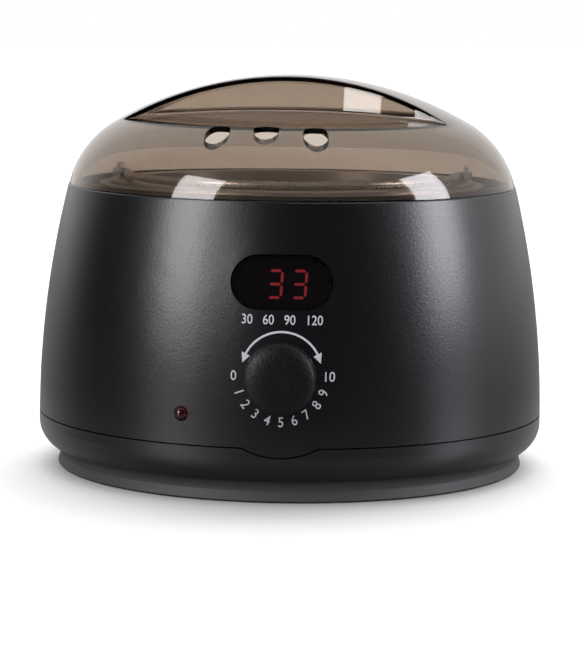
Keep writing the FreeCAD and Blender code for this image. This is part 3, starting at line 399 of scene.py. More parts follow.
# Phenolic moulding: dark brown, half matt.
PHENOLIC = MouldedPlastic("phenolic_brown", "#33241c", 0.42, grain_mm=0.6, pale="#5a4638", mottle=0.12)
# Fuse case: lacquered metal, dull ivory.
FUSE = MouldedPlastic("lacquer_ivory", "#cfc5a5", 0.4, grain_mm=1.2, pale="#e6dfc8", mottle=0.2)
# Display block: dull black epoxy face.
DIGITS = MouldedPlastic("epoxy_black_matt", "#0c0c0d", 0.55, grain_mm=0.4, relief_mm=0.006)
# Glass-epoxy board, solder-masked: half-gloss green with paler tracks.
BOARD = CircuitBoard("board_green_mask", "#1c4a2b", 0.35)
# Epoxy chip cases, moulded: dull black.
CHIP = MouldedPlastic("chip_black_epoxy", "#1b1b1d", 0.5, grain_mm=0.3)
# Nylon gland and lamp holder: black with a dull sheen.
GLAND = MouldedPlastic("nylon_black", "#121213", 0.44, grain_mm=0.7)
# Steatite terminal block: off-white, slightly granular.
CERAMIC = MouldedPlastic("steatite_white", "#d9d4c7", 0.38, grain_mm=0.5, pale="#efece4", mottle=0.3)
# Glass-fibre sleeving, braided: off-white and matt.
SLEEVE = BraidedSleeve("glass_fibre_sleeve", "#d8d4c8", 0.7)
# Screen-printed ink: pale grey, flat.
INK = MouldedPlastic(
    "ink_pale_grey", "#cacbd6", 0.55, grain_mm=0.3, relief_mm=0.004, pale="#dedfe8", mottle=0.3)
# Light pipes over red diodes: an even red glow.
GLOW = LitBar("display_bar_red", "#ff5560", 0.4, strength=4.6)

# Which finish each part of the solid model takes.
PARTS: dict[Any, tuple[str, ...]] = {
    HOUSING: ("body_shell", "base_cover"),
    FOOT: ("foot_ring",),
    KNOB: ("control_knob",),
    SMOKE: ("lid",),
    POT: ("inner_pot",),
    CUP: ("heating_cup",),
    RIVET: ("ear_rivets",),
    STEEL: ("bail_ears", "bail_handle", "base_screws", "flange_nuts", "band_bolt", "band_nut",
            "stud_nut", "thermostat_shaft", "board_screws", "block_screw"),
    BAND: ("heater_band", "fuse_clip"),
    BRASS: ("temp_sensor", "thermostat_nut", "terminal_screws"),
    SILICONE: ("cup_gasket",),
    FUSE: ("thermal_fuse",),
    PHENOLIC: ("thermostat_body",),
    LENS: ("display_window",),
    DIGITS: ("digit_module",),
    BOARD: ("display_board",),
    CHIP: ("board_parts",),
    LAMP: ("indicator_lamp",),
    GLAND: ("lamp_holder", "cord_gland"),
    CERAMIC: ("terminal_block",),
    SLEEVE: ("lead_wires",),
}


@dataclass
class Skin:
    """Collects grids of points and welds them into one mesh."""

    points: list[Array] = field(default_factory=list)
    quads: list[Array] = field(default_factory=list)
    count: int = 0

    def add(self, grid: Array, wrap: bool = False, flip: bool = False) -> None:
        """Adds a grid of points as four-sided faces.

        Args:
            grid: rows by columns by three, in millimetres.
            wrap: joins the last column to the first.
            flip: turns the faces round.
        """
        rows, columns = grid.shape[:2]
        index = np.arange(rows * columns).reshape(rows, columns) + self.count
        if wrap:
            index = np.hstack([index, index[:, :1]])
        corners = (index[:-1, :-1], index[:-1, 1:], index[1:, 1:], index[1:, :-1])
        quads = np.stack(corners[::-1] if flip else corners, axis=-1).reshape(-1, 4)
        self.points.append(grid.reshape(-1, 3))
        self.quads.append(quads)
        self.count += rows * columns

    def piece(self, name: str, crease: float = 30.0) -> Object:
        """Makes the mesh object.

        Args:
            name: the piece's name.
            crease: edges sharper than this many degrees stay sharp.

        Returns:
            The object, at the origin.
        """
        mesh = bpy.data.meshes.new(name)
        mesh.from_pydata((np.vstack(self.points) * MM).tolist(), [], np.vstack(self.quads).tolist())
        return finished(mesh, name, crease)


def finished(mesh: Mesh, name: str, crease: float) -> Object:
    """Welds a mesh, turns its faces outwards, shades it and puts it in the scene.

    Args:
        mesh: the mesh, in metres.
        name: the piece's name.
        crease: edges sharper than this many degrees stay sharp.

    Returns:
        The object.
    """
    work = bmesh.new()
    work.from_mesh(mesh)
    bmesh.ops.remove_doubles(work, verts=work.verts, dist=WELD)
    bmesh.ops.dissolve_degenerate(work, edges=work.edges, dist=SLIVER)
    bmesh.ops.recalc_face_normals(work, faces=work.faces)
    work.to_mesh(mesh)
    work.free()
    mesh.shade_smooth()
    mesh.set_sharp_from_angle(angle=math.radians(crease))
    piece = bpy.data.objects.new(name, mesh)
    bpy.context.scene.collection.objects.link(piece)
    return piece


def dress(piece: Object, material: Material) -> Object:
    """Gives a piece its one material.

    Args:
        piece: the piece.
        material: the material.

    Returns:
        The piece.
    """
    piece.data.materials.clear()
    piece.data.materials.append(material)
    return piece


def turned(profile: Array, angles: Array) -> Array:
    """Turns a half section round the upright axis: each point (r, z) goes to (r cos a, r sin a, z).

    Args:
        profile: rows of radius and height.
        angles: angles in radians.

    Returns:
        A grid, profile points by angles.
    """
    r, z = profile[:, :1], profile[:, 1:]
    return np.stack([r * np.cos(angles), r * np.sin(angles), z + 0 * angles], axis=-1)


def curve_between(start: Array, corner: Array, end: Array, count: int) -> Array:
    """A rounded corner: the parabola from start to end whose end tangents meet in the corner.

    Args:
        start: arrays of coordinates stacked in the first axis.
        corner: the same for the corner.
        end: the same for the end.
        count: number of rows.

    Returns:
        Rows of points, the first axis of the inputs kept as the last.
    """
    t = np.linspace(0, 1, count)[:, None, None]
    rows = (1 - t) ** 2 * start[None] + 2 * t * (1 - t) * corner[None] + t ** 2 * end[None]
    return np.moveaxis(rows, 1, 2)


@dataclass
class Wall:
    """The housing's barrel wall: an arc about a point beyond the axis, turned round the axis."""

    widest_r: float = 93.1
    widest_z: float = 16.5
    arc_r: float = 358.0

    def radius(self, z: Array) -> Array:
        """Radius of the wall at a height: widest radius less the arc's sagitta."""
        return self.widest_r - self.arc_r + np.sqrt(self.arc_r ** 2 - (z - self.widest_z) ** 2)

    def on_front(self, flat: Array) -> Array:
        """Lays flat points on the wall's front: (x, z, lift) goes to (x, -sqrt((r(z) + lift)^2 - x^2), z).

        Args:
            flat: points in the last axis of three.

        Returns:
            The points in space.
        """
        x, z, lift = np.moveaxis(flat, -1, 0)
        y = -np.sqrt((self.radius(z) + lift) ** 2 - x ** 2)
        return np.stack([x, y, z], axis=-1)

    def frame(self, z: float) -> Matrix:
        """A place on the front of the wall, in millimetres: X right, Y up the wall, Z straight out.

        Args:
            z: the place's height.

        Returns:
            The matrix that carries local points there.
        """
        lean = math.asin((z - self.widest_z) / self.arc_r)
        c, s = math.cos(lean), math.sin(lean)
        y = -float(self.radius(np.array(z)))
        return Matrix(((1, 0, 0, 0), (0, s, -c, y), (0, c, s, z), (0, 0, 0, 1)))


@dataclass
class Lid:
    """Clear lid: dome, rounded shoulder, leaning skirt, and a hollow fin between two finger scoops.

    The shares keep the fin's rounds small where it runs out; the fade makes the inner edge crisper.
    """

    top: float = 143.7
    wall: float = 1.9
    dome_r: float = 130.8
    dome_to_r: float = 65.2
    shoulder_r: float = 35.4
    skirt_lean: float = 14.9
    seat_z: float = 103.5
    turn: float = -6.0
    floor_top: float = 130.6
    floor_r: float = 620.0
    fin_half: float = 10.7
    fin_arc_r: float = 188.0
    fin_draft: float = 7.0
    root_round: float = 1.2
    edge_round: float = 0.9
    edge_fade: float = 0.7
    root_share: float = 0.45
    edge_share: float = 0.3
    vent_r: float = 4.5
    vent_pitch: float = 17.2
    vent_y: float = -64.5
    peg_base: float = 106.0
    peg_long: float = 40.0
    peg_sides: int = 64
    crease: float = 16.0
    end_columns: int = 12
    fin_columns: int = 130
    floor_rows: int = 26
    root_rows: int = 10
    wall_rows: int = 8
    edge_rows: int = 7
    top_rows: int = 14
    shoulder_rows: int = 26
    short_rows: int = 4
    settling: int = 12

    def middle(self, face: Face) -> tuple[Array, Array, float]:
        """The inner disc of one face, front half: columns across, rows from the rim to the middle line.

        Each column runs over the scoop's floor (a sphere), up a parabola-rounded root, up the fin's wall (a
        cone), over a rounded edge and along the dome (a sphere). Beyond the fin's tips the first runs have no
        length and only the dome is left.

        Args:
            face: which face of the wall.

        Returns:
            The grid, the columns' angles from straight ahead, and the rim's radius.
        """
        inset = self.wall * face.value
        dome, dome_c = self.dome_r - inset, self.top - self.dome_r
        floor, floor_c = self.floor_r - inset, self.floor_top - self.floor_r
        bite_y = self.fin_half + self.fin_arc_r
        slope = math.tan(math.radians(self.fin_draft))
        rim_z = (dome ** 2 - floor ** 2 - dome_c ** 2 + floor_c ** 2) / (2 * (floor_c - dome_c))
        rim_r = math.sqrt(dome ** 2 - (rim_z - dome_c) ** 2)
        rim_bite = self.fin_arc_r + inset - (self.top - rim_z) * slope
        tip_y = (rim_bite ** 2 - bite_y ** 2 - rim_r ** 2) / (2 * bite_y)
        tip = math.acos(-tip_y / rim_r)
        ends = np.linspace(tip, math.pi / 2, self.end_columns)[1:]
        phi = np.concatenate([-ends[::-1], np.linspace(-tip, tip, self.fin_columns), ends])
        x, y_rim = rim_r * np.sin(phi), -rim_r * np.cos(phi)
        beyond = np.abs(phi) >= tip - HAIR

        def on_dome(y: Array) -> Array:
            """Height of the dome's sphere over each column at y."""
            return dome_c + np.sqrt(dome ** 2 - x ** 2 - y ** 2)

        def on_floor(y: Array) -> Array:
            """Height of the scoop floor's sphere over each column at y."""
            return floor_c + np.sqrt(floor ** 2 - x ** 2 - y ** 2)

        def on_wall(z: Array) -> Array:
            """Place of the fin's wall in each column: a cone that widens upwards, not beyond the rim.

            Args:
                z: heights, one to a column or rows of them.

            Returns:
                The places across.
            """
            bite = self.fin_arc_r + inset - (self.top - z) * slope
            y = np.sqrt(np.maximum(bite ** 2 - x ** 2, 0)) - bite_y
            return np.where(beyond, y_rim, np.maximum(y, y_rim))

        # Foot and head of the fin's wall, found by going to and fro between the wall and the spheres.
        foot_z, head_z = rim_z + 0 * x, rim_z + 0 * x
        for _ in range(self.settling):
            foot_y, head_y = on_wall(foot_z), on_wall(head_z)
            foot_z, head_z = on_floor(foot_y), on_dome(head_y)
        rise = np.where(beyond, 0, np.maximum(head_z - foot_z, 0))
        root = np.minimum(self.root_round + inset, self.root_share * rise)
        edge = np.minimum(self.edge_round * (1 - self.edge_fade * face.value), self.edge_share * rise)

        u = np.linspace(0, 1, self.floor_rows)[:, None]
        y_floor = y_rim + u * (foot_y - root - y_rim)
        runs = [np.stack([y_floor, on_floor(y_floor)], axis=-1)]
        start = np.stack([foot_y - root, on_floor(foot_y - root)])
        end = np.stack([on_wall(foot_z + root), foot_z + root])
        runs.append(curve_between(start, np.stack([foot_y, foot_z]), end, self.root_rows))
        v = np.linspace(0, 1, self.wall_rows)[:, None]
        z_wall = foot_z + root + v * (head_z - edge - foot_z - root)
        runs.append(np.stack([on_wall(z_wall), z_wall], axis=-1))
        start = np.stack([on_wall(head_z - edge), head_z - edge])
        end = np.stack([head_y + edge, on_dome(head_y + edge)])
        runs.append(curve_between(start, np.stack([head_y, head_z]), end, self.edge_rows))
        y_top = (head_y + edge) * (1 - np.linspace(0, 1, self.top_rows)[:, None])
        runs.append(np.stack([y_top, on_dome(y_top)], axis=-1))
        yz = np.concatenate([run if k == 0 else run[1:] for k, run in enumerate(runs)])
        return np.concatenate([(x + 0 * yz[..., 0])[..., None], yz], axis=-1), phi, rim_r

    def skirt(self, face: Face, phi: Array, rim_r: float) -> Array:
        """The outer ring of one face: the rest of the dome, the shoulder's arc and the skirt, turned.

        Args:
            face: which face of the wall.
            phi: the columns' angles from straight ahead, on the front half.
            rim_r: radius where the ring starts.

        Returns:
            The grid, profile points by angles all the way round.
        """
        inset = self.wall * face.value
        dome, dome_c = self.dome_r - inset, self.top - self.dome_r
        small = self.shoulder_r - inset
        lean, end = math.asin(self.dome_to_r / self.dome_r), math.pi / 2 - math.radians(self.skirt_lean)
        centre = np.array([
            self.dome_to_r - self.shoulder_r * math.sin(lean),
            dome_c + (self.dome_r - self.shoulder_r) * math.cos(lean)])
        a = np.linspace(math.asin(rim_r / dome), lean, self.short_rows)[:, None]
        b = np.linspace(lean, end, self.shoulder_rows)[1:, None]
        rows = [np.hstack([dome * np.sin(a), dome_c + dome * np.cos(a)])]
        rows.append(centre + small * np.hstack([np.sin(b), np.cos(b)]))
        knee = rows[-1][-1]
        drop = np.linspace(0, 1, self.short_rows)[1:, None] * (knee[1] - self.seat_z)
        rows.append(knee + drop * np.array([math.tan(math.radians(self.skirt_lean)), -1.0]))
        front = phi - math.pi / 2
        return turned(np.vstack(rows), np.concatenate([front, -front[-2:0:-1]]))

    def vents(self) -> Object:
        """The three upright pegs that cut the vents: circles carried up, closed by fans to their middles.

        Returns:
            The pegs as one object.
        """
        skin = Skin()
        round_ = np.linspace(0, 2 * math.pi, self.peg_sides, endpoint=False)
        box = np.array([[0, 0.0], [1, 0.0], [1, 1.0], [0, 1.0]])
        profile = box * [self.vent_r, self.peg_long] + [0, self.peg_base]
        for step in (-1, 0, 1):
            skin.add(turned(profile, round_) + [step * self.vent_pitch, self.vent_y, 0], wrap=True)
        return skin.piece("vent_pegs")

    def build(self, material: Material) -> Object:
        """Makes the lid as one closed wall with its vents cut, turned to its place.

        Args:
            material: the lid's material.

        Returns:
            The lid.
        """
        skin = Skin()
        feet = []
        for face in Face:
            inside = face is Face.INNER
            disc, phi, rim_r = self.middle(face)
            skin.add(disc, flip=inside)
            skin.add(disc * [1, -1, 1], flip=not inside)
            ring = self.skirt(face, phi, rim_r)
            skin.add(ring, wrap=True, flip=not inside)
            feet.append(ring[-1])
        skin.add(np.stack(feet), wrap=True, flip=True)
        lid = skin.piece("lid_shell", self.crease)
        pegs = self.vents()
        cut = lid.modifiers.new("vents", "BOOLEAN")
        cut.object, cut.operation, cut.solver = pegs, "DIFFERENCE", "EXACT"
        whole = bpy.data.meshes.new_from_object(lid.evaluated_get(bpy.context.evaluated_depsgraph_get()))
        for old in (pegs, lid):
            bpy.data.objects.remove(old)
        whole.transform(Matrix.Rotation(math.radians(self.turn), 4, "Z"))
        lid = dress(finished(whole, "lid_shell", self.crease), material)
        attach(lid, "lid")
        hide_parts("lid")
        return lid


@dataclass
class Knob:
    """Dial knob: a crowned plain face with a crisp edge, a finely ribbed side, a hollow back with a hub."""

    wall: Wall
    z: float = 44.2
    base: float = 0.7
    top: float = 11.8
    radius: float = 12.45
    face_r: float = 11.9
    drop: float = 2.2
    edge_round: float = 0.35
    hollow_r: float = 9.95
    hollow_z: float = 8.8
    hub_r: float = 5.0
    hub_base: float = 5.6
    bore_r: float = 3.05
    bore_z: float = 9.7
    ribs: int = 40
    rib_depth: float = 0.3
    rib_columns: int = 10
    rib_above: float = 0.8
    rib_below: float = 1.0
    rib_fade: float = 0.8
    side_rows: int = 24
    edge_rows: int = 6
    face_rows: int = 30
    crease: float = 34.0

    def profile(self) -> Array:
        """The half section, from the bore's end round the back, up the side and over the face.

        The face falls with the fourth power of the radius, the side is a straight taper, and a parabola
        rounds the edge between them.

        Returns:
            Rows of radius and height.
        """
        edge = self.top - self.drop
        back = np.array([
            [0, self.bore_z], [self.bore_r, self.bore_z], [self.bore_r, self.hub_base],
            [self.hub_r, self.hub_base], [self.hub_r, self.hollow_z], [self.hollow_r, self.hollow_z],
            [self.hollow_r, self.base], [self.radius, self.base]])
        u = np.linspace(0, 1, self.side_rows)[1:, None]
        foot, head = np.array([self.radius, self.base]), np.array([self.face_r, edge])
        side = foot + u * (head - foot) * (1 - self.edge_round / (edge - self.base))
        r = (self.face_r - self.edge_round) * np.linspace(1, 0, self.face_rows)[:, None]
        face = np.hstack([r, self.top - self.drop * (r / self.face_r) ** 4])
        bend = curve_between(side[-1][:, None], head[:, None], face[0][:, None], self.edge_rows)[1:-1, 0]
        return np.vstack([back, side, bend, face])

    def build(self, material: Material) -> Object:
        """Turns the section about the knob's axis; the side's radius dips with a cosine wave for the ribs.

        Args:
            material: the knob's material.

        Returns:
            The knob.
        """
        profile = self.profile()
        angles = np.linspace(0, 2 * math.pi, self.ribs * self.rib_columns, endpoint=False)
        grid = turned(profile, angles)
        low, high = self.base + self.rib_above, self.top - self.drop - self.rib_below
        rise = np.clip(np.minimum(profile[:, 1] - low, high - profile[:, 1]) / self.rib_fade, 0, 1)
        wave = 0.5 - 0.5 * np.cos(self.ribs * angles)
        reach = np.where(profile[:, 0] > self.face_r, rise, 0)[:, None] * wave
        grid[..., :2] *= (1 - self.rib_depth * reach / self.radius)[..., None]
        place = np.array(self.wall.frame(self.z))
        skin = Skin()
        skin.add(grid @ place[:3, :3].T + place[:3, 3], wrap=True)
        knob = dress(skin.piece("dial_knob", self.crease), material)
        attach(knob, "knob")
        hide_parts("control_knob")
        return knob


@dataclass(frozen=True)
class Print:
    """Printed characters: their piece's name, what they say, where their middle is, their turn and size."""

    name: str
    body: str
    x: float
    z: float
    turn: float = 0.0
    height: float = 3.4
    squeeze: float = 0.9


@dataclass
class FrontPrints:
    """Marks printed on the front wall round the knob, as thin ink with a real thickness."""

    wall: Wall
    centre_x: float = 0.35
    centre_z: float = 44.5
    arrow_z: float = 46.2
    arrow_r: float = 13.7
    arrow_from: float = 167.0
    arrow_to: float = 13.0
    line_half: float = 0.35
    head_long: float = 3.3
    head_half: float = 1.55
    numbers_r: float = 15.2
    numbers_from: float = 200.0
    numbers_to: float = 340.0
    numbers: int = 9
    fixed: tuple[Print, ...] = (
        Print("low_print", "0", -16.0, 44.9), Print("high_print", "10", 16.9, 44.8),
        Print("scale_print", "30   60   90   120", 0.4, 64.0, turn=-0.6, height=3.3, squeeze=0.86))
    ink: float = 0.06
    arrow_rows: int = 60
    tip_half: float = 0.02
    bolder: float = 0.004
    font_depth: float = 0.1
    font_steps: int = 6
    crease: float = 30.0

    def arrow(self, material: Material) -> Object:
        """The double-headed arrow: a ribbon along an arc; its half width grows from each tip, then steps in.

        Args:
            material: the ink.

        Returns:
            The arrow.
        """
        a, b = math.radians(self.arrow_from), math.radians(self.arrow_to)
        length = abs(a - b) * self.arrow_r
        head = self.head_long / length
        line = np.linspace(head, 1 - head, self.arrow_rows)[1:-1]
        along = np.concatenate([[0, head, head], line, [1 - head, 1 - head, 1]])
        tips = np.minimum(along, 1 - along) * length
        half = np.minimum(tips / self.head_long, 1) * self.head_half
        half[2:-2] = self.line_half
        half[[0, -1]] = self.tip_half
        angle = a + (b - a) * along
        # The ribbon's section is a flat box, half below and half above the wall's face.
        offsets = np.array([[-1, 0], [1, 0], [1, 1], [-1, 1]])
        r = self.arrow_r + offsets[:, :1] * half
        lift = np.where(offsets[:, 1:] > 0, self.ink, -self.ink) + 0 * half
        x, z = self.centre_x + r * np.cos(angle), self.arrow_z + r * np.sin(angle)
        flat = np.moveaxis(np.stack([x, z, lift], axis=-1), 0, 1)
        skin = Skin()
        skin.add(self.wall.on_front(flat), wrap=True)
        for end in (flat[:1], flat[-1:]):
            cap = self.wall.on_front(end[0])
            skin.add(np.stack([cap[[0, 1]], cap[[3, 2]]]))
        return dress(skin.piece("arrow_print"), material)

    def characters(self, item: Print, material: Material) -> Object:
        """Characters as a piece: outlines filled and given thickness, scaled, turned and laid on the wall.

        Args:
            item: what is printed.
            material: the ink.

        Returns:
            The piece.
        """
        font = bpy.data.curves.new("characters", "FONT")
        # The font's depth only tells front from back: the ink's thickness is set below.
        font.body, font.extrude = item.body, self.font_depth
        font.offset, font.resolution_u = self.bolder, self.font_steps
        carrier = bpy.data.objects.new("characters", font)
        bpy.context.scene.collection.objects.link(carrier)
        mesh = bpy.data.meshes.new_from_object(carrier.evaluated_get(bpy.context.evaluated_depsgraph_get()))
        bpy.data.objects.remove(carrier)
        bpy.data.curves.remove(font)
        flat = np.empty(len(mesh.vertices) * 3)
        mesh.vertices.foreach_get("co", flat)
        flat = flat.reshape(-1, 3)
        low, high = flat.min(0), flat.max(0)
        scale = item.height / (high[1] - low[1])
        u, v = ((flat - (low + high) / 2)[:, :2] * [scale * item.squeeze, scale]).T
        c, s = math.cos(math.radians(item.turn)), math.sin(math.radians(item.turn))
        lift = np.where(flat[:, 2] > 0, self.ink, -self.ink)
        place = self.wall.on_front(np.stack([item.x + c * u - s * v, item.z + s * u + c * v, lift], axis=-1))
        mesh.vertices.foreach_set("co", (place * MM).ravel())
        return dress(finished(mesh, item.name, self.crease), material)

    def build(self, material: Material) -> list[Object]:
        """Makes all the marks.

        Args:
            material: the ink.

        Returns:
            The marks.
        """
        prints = list(self.fixed)
        for k, angle in enumerate(np.linspace(self.numbers_from, self.numbers_to, self.numbers)):
            a = math.radians(angle)
            x, z = self.centre_x + self.numbers_r * math.cos(a), self.centre_z + self.numbers_r * math.sin(a)
            prints.append(Print(f"number_print_{k + 1}", str(k + 1), x, z, angle + 90))
        marks = [self.arrow(material)] + [self.characters(item, material) for item in prints]
        for mark in marks:
            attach(mark, "housing")
        return marks


@dataclass
class Figures:
    """The lit bars of the figure display, on the front of the display block."""

    wall: Wall
    window_z: float = 76.6
    plane: float = -6.6
    high: float = 10.1
    wide: float = 5.4
    pitch: float = 8.3
    first_x: float = -2.45
    middle_y: float = -0.3
    slant: float = 3.4
    half: float = 0.46
    gap: float = 0.35
    thick: float = 0.12
    sink: float = 0.02
    count: int = 2

    def bar(self, segment: Segment, x: float) -> Array:
        """One bar: a six-sided prism from start to end, sheared by the slant, on the block's face.

        Args:
            segment: which bar.
            x: middle of its figure.

        Returns:
            A grid of the prism's two outlines and their middles.
        """
        size = np.array([self.wide - 2 * self.half, (self.high - 2 * self.half) / 2])
        start, end = (np.array(p) * size - size * [0.5, 1] for p in segment.value)
        run = (end - start) / np.linalg.norm(end - start)
        side = np.array([-run[1], run[0]]) * self.half
        a, b = start + run * self.gap, end - run * self.gap
        inner = run * self.half
        ring = np.array([a, a + inner + side, b - inner + side, b, b - inner - side, a + inner - side])
        middle = np.repeat((a + b)[None] / 2, len(ring), axis=0)
        low, high = -self.sink, self.thick
        rows = []
        for outline, lift in ((middle, low), (ring, low), (ring, high), (middle, high)):
            across, up = outline.T
            lean = up * math.tan(math.radians(self.slant))
            out = 0 * lean + self.plane + lift
            rows.append(np.stack([across + lean + x, up + self.middle_y, out], axis=-1))
        return np.array(rows)

    def build(self, material: Material) -> Object:
        """Makes the lit figures, each a three.

        Args:
            material: the lit bar's material.

        Returns:
            The bars as one piece.
        """
        place = np.array(self.wall.frame(self.window_z))
        skin = Skin()
        for k in range(self.count):
            for segment in Segment:
                grid = self.bar(segment, self.first_x + k * self.pitch)
                skin.add(grid @ place[:3, :3].T + place[:3, 3], wrap=True)
        bars = dress(skin.piece("lit_bars"), material)
        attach(bars, "housing")
        return bars


@dataclass
class CadFinishes:
    """The finishes of the parts of the solid model."""

    nodes: dict[str, Object]

    def apply(self) -> dict[str, Material]:
        """Makes each material once and gives it to its parts.

        Returns:
            Material by part name.
        """
        made = {}
        for finish, names in PARTS.items():
            material = finish.material()
            for name in names:
                dress(self.nodes[name], material)
                made[name] = material
                LOG.info("dressed %s with %s", name, finish.name)
        return made


@dataclass
class Softbox:
    """A rectangular studio lamp that looks at the object's middle; lengths in metres."""

    name: str
    azimuth: float
    elevation: float
    width: float
    height: float
    radiance: float
    tint: str = "#ffffff"
    distance: float = 1.2
    aim_z: float = 0.09

    def build(self) -> Object:
        """Makes the lamp: its power is pi times its area times the brightness of its face.

        Returns:
            The lamp.
        """
        data = bpy.data.lights.new(self.name, "AREA")
        data.shape, data.size, data.size_y = "RECTANGLE", self.width, self.height
        data.energy = math.pi * self.width * self.height * self.radiance
        data.color = linear(self.tint)[:3]
        lamp = bpy.data.objects.new(self.name, data)
        turn = Matrix.Rotation(math.radians(self.azimuth), 4, "Z")
        tip = Matrix.Rotation(math.radians(90 - self.elevation), 4, "X")
        lamp.matrix_world = Matrix.Translation((0, 0, self.aim_z)) @ turn @ tip @ Matrix.Translation(
            (0, 0, self.distance))
        lamp.visible_camera = False
        lamp.visible_diffuse = False
        bpy.context.scene.collection.objects.link(lamp)
        return lamp


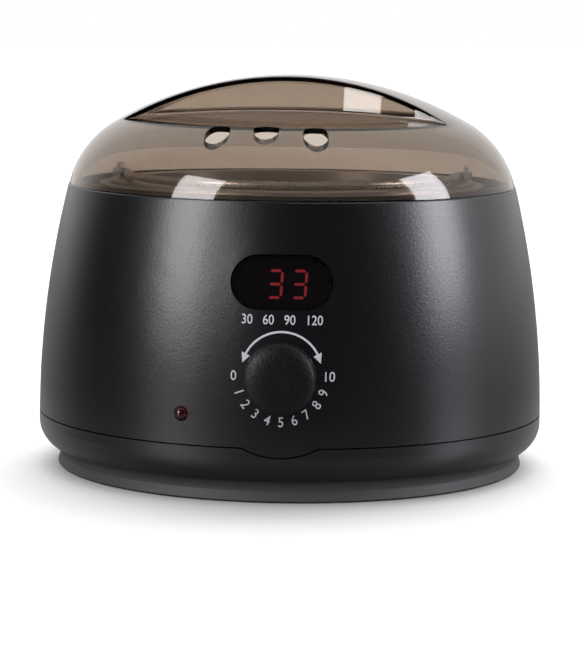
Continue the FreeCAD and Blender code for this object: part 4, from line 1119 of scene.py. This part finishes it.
@dataclass
class Studio:
    """White table, white surroundings and three lamps; lengths in metres, the drop in millimetres.
    Reflections see the table grey, with painted shade.
    """

    floor_half: float = 6.0
    floor_points: int = 5
    floor_drop: float = 0.2
    paper: str = "#d6d6d6"
    # Painted shade: reflections see the table grey, lighter near the object and darker away from it.
    reflected_shade_near: str = "#8a8a8a"
    table: str = "#464646"
    table_gloss: float = 0.35
    near_shade_to: float = 0.12
    far_shade_from: float = 0.28
    ambient: float = 1.25
    back_light: float = 3.5
    front_level: float = 0.012
    light_from: tuple[float, float, float] = (0.1, 0.72, 0.69)
    light_edge: tuple[float, float] = (0.65, 0.95)
    white_from: tuple[float, float, float] = (0.28, 0.87, 0.4)
    white_edge: tuple[float, float] = (0.0, 0.5)

    def floor(self) -> Object:
        """The table: a square grid just under the foot; white paper to the camera, and in the reflections a
        satin grey with painted shade, darker away from the object.

        Returns:
            The table.
        """
        side = np.linspace(-self.floor_half, self.floor_half, self.floor_points) / MM
        x, y = np.meshgrid(side, side)
        skin = Skin()
        skin.add(np.stack([x, y, 0 * x - self.floor_drop], axis=-1))
        floor = skin.piece("table_top")
        material = bpy.data.materials.new("paper_white")
        material.use_nodes = True
        tree = material.node_tree
        tree.nodes.clear()
        rays = add_node(tree, "LightPath").outputs
        seen = add_node(tree, "Math", {
            0: rays["Is Camera Ray"], 1: rays["Is Transmission Ray"]}, operation="MAXIMUM")
        away = add_node(tree, "VectorMath", {
            0: add_node(tree, "TexCoord").outputs["Object"]}, operation="LENGTH")
        far = add_node(tree, "MapRange", {
            "Value": away.outputs["Value"], "From Min": self.near_shade_to, "From Max": self.far_shade_from},
            interpolation_type="SMOOTHSTEP")
        # Painted shade: the grey the table shows in reflections, darker away from the object.
        colour = add_node(tree, "Mix", {
            0: far.outputs["Result"], MIX_A: linear(self.reflected_shade_near), MIX_B: linear(self.table)},
            data_type="RGBA")
        satin = add_node(tree, "BsdfPrincipled", {
            "Base Color": colour.outputs[MIXED], "Roughness": self.table_gloss})
        paper = add_node(tree, "BsdfDiffuse", {"Color": linear(self.paper)})
        both = add_node(tree, "MixShader", {
            0: seen.outputs["Value"], 1: satin.outputs["BSDF"], 2: paper.outputs["BSDF"]})
        add_node(tree, "OutputMaterial", {"Surface": both.outputs["Shader"]})
        dress(floor, material)
        return floor

    def world(self) -> World:
        """White to the camera; most light from behind; reflections see white behind, a dim room in front.

        Returns:
            The world.
        """
        world = bpy.data.worlds.new("studio")
        world.use_nodes = True
        tree = world.node_tree
        tree.nodes.clear()
        rays = add_node(tree, "LightPath").outputs
        way = add_node(tree, "TexCoord").outputs["Generated"]
        behind = add_node(tree, "VectorMath", {0: way, 1: self.light_from}, operation="DOT_PRODUCT")
        above = add_node(tree, "VectorMath", {0: way, 1: self.white_from}, operation="DOT_PRODUCT")
        mirror = add_node(tree, "MapRange", {
            "Value": above.outputs["Value"], "From Min": self.white_edge[0], "From Max": self.white_edge[1],
            "To Min": self.front_level, "To Max": 1.0}, interpolation_type="SMOOTHSTEP")
        soft = add_node(tree, "MapRange", {
            "Value": behind.outputs["Value"], "From Min": self.light_edge[0], "From Max": self.light_edge[1],
            "To Min": self.ambient, "To Max": self.ambient + self.back_light},
            interpolation_type="SMOOTHSTEP")
        level = add_node(tree, "Mix", {
            "Factor": rays["Is Glossy Ray"], "A": soft.outputs["Result"], "B": mirror.outputs["Result"]})
        seen = add_node(tree, "Math", {
            0: rays["Is Camera Ray"], 1: rays["Is Transmission Ray"]}, operation="MAXIMUM")
        strength = add_node(tree, "Mix", {
            "Factor": seen.outputs["Value"], "A": level.outputs["Result"], "B": 1.0})
        sky = add_node(tree, "Background", {
            "Color": linear("#ffffff"), "Strength": strength.outputs["Result"]})
        add_node(tree, "OutputWorld", {"Surface": sky.outputs["Background"]})
        bpy.context.scene.world = world
        return world

    def build(self) -> None:
        """Sets up the table, the surroundings and the lamps."""
        self.floor()
        self.world()
        lamps = (
            Softbox("softbox_left", azimuth=-49.6, elevation=22.2, width=0.46, height=0.77, radiance=9.5,
                    tint="#fbfbff"),
            Softbox("softbox_right", azimuth=78.2, elevation=21.4, width=0.43, height=0.72, radiance=11.0,
                    tint="#f4f6ff"),
            Softbox("strip_light", azimuth=-28.2, elevation=13.0, width=0.146, height=0.13, radiance=9.5))
        for lamp in lamps:
            LOG.info("lit %s", lamp.build().name)


@dataclass
class PhotoCamera:
    """The camera of the photograph, fitted to the housing's curves."""

    distance: float = 1011.2
    azimuth: float = 2.1
    height: float = 180.5
    aside: float = -0.22
    pitch: float = 7.438
    roll: float = 0.6155
    lens: float = 148.9
    sensor: float = 36.0

    def build(self) -> Object:
        """Makes the camera: stood back along its azimuth, tipped down by the pitch, rolled about its axis.

        Returns:
            The camera.
        """
        data = bpy.data.cameras.new("photo_camera")
        data.lens, data.sensor_width = self.lens, self.sensor
        camera = bpy.data.objects.new("photo_camera", data)
        place = Matrix.Rotation(math.radians(self.azimuth), 4, "Z") @ Matrix.Translation(
            (self.aside * MM, -self.distance * MM, self.height * MM))
        tip = Matrix.Rotation(math.radians(90 - self.pitch), 4, "X")
        camera.matrix_world = place @ tip @ Matrix.Rotation(math.radians(self.roll), 4, "Z")
        bpy.context.scene.collection.objects.link(camera)
        bpy.context.scene.camera = camera
        return camera


def main() -> None:
    """Builds the camera, the studio, the finishes and the new pieces, in that order."""
    logging.basicConfig(level=logging.INFO, format="%(name)s: %(message)s")
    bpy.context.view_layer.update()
    bpy.context.scene.view_settings.view_transform = "Standard"
    PhotoCamera().build()
    Studio().build()
    made = CadFinishes(frame["nodes"]).apply()
    LOG.info("built %s", Lid().build(made["lid"]).name)
    wall = Wall()
    LOG.info("built %s", Knob(wall).build(made["control_knob"]).name)
    for mark in FrontPrints(wall).build(INK.material()):
        LOG.info("built %s", mark.name)
    LOG.info("built %s", Figures(wall).build(GLOW.material()).name)


if __name__ == "__main__":
    main()
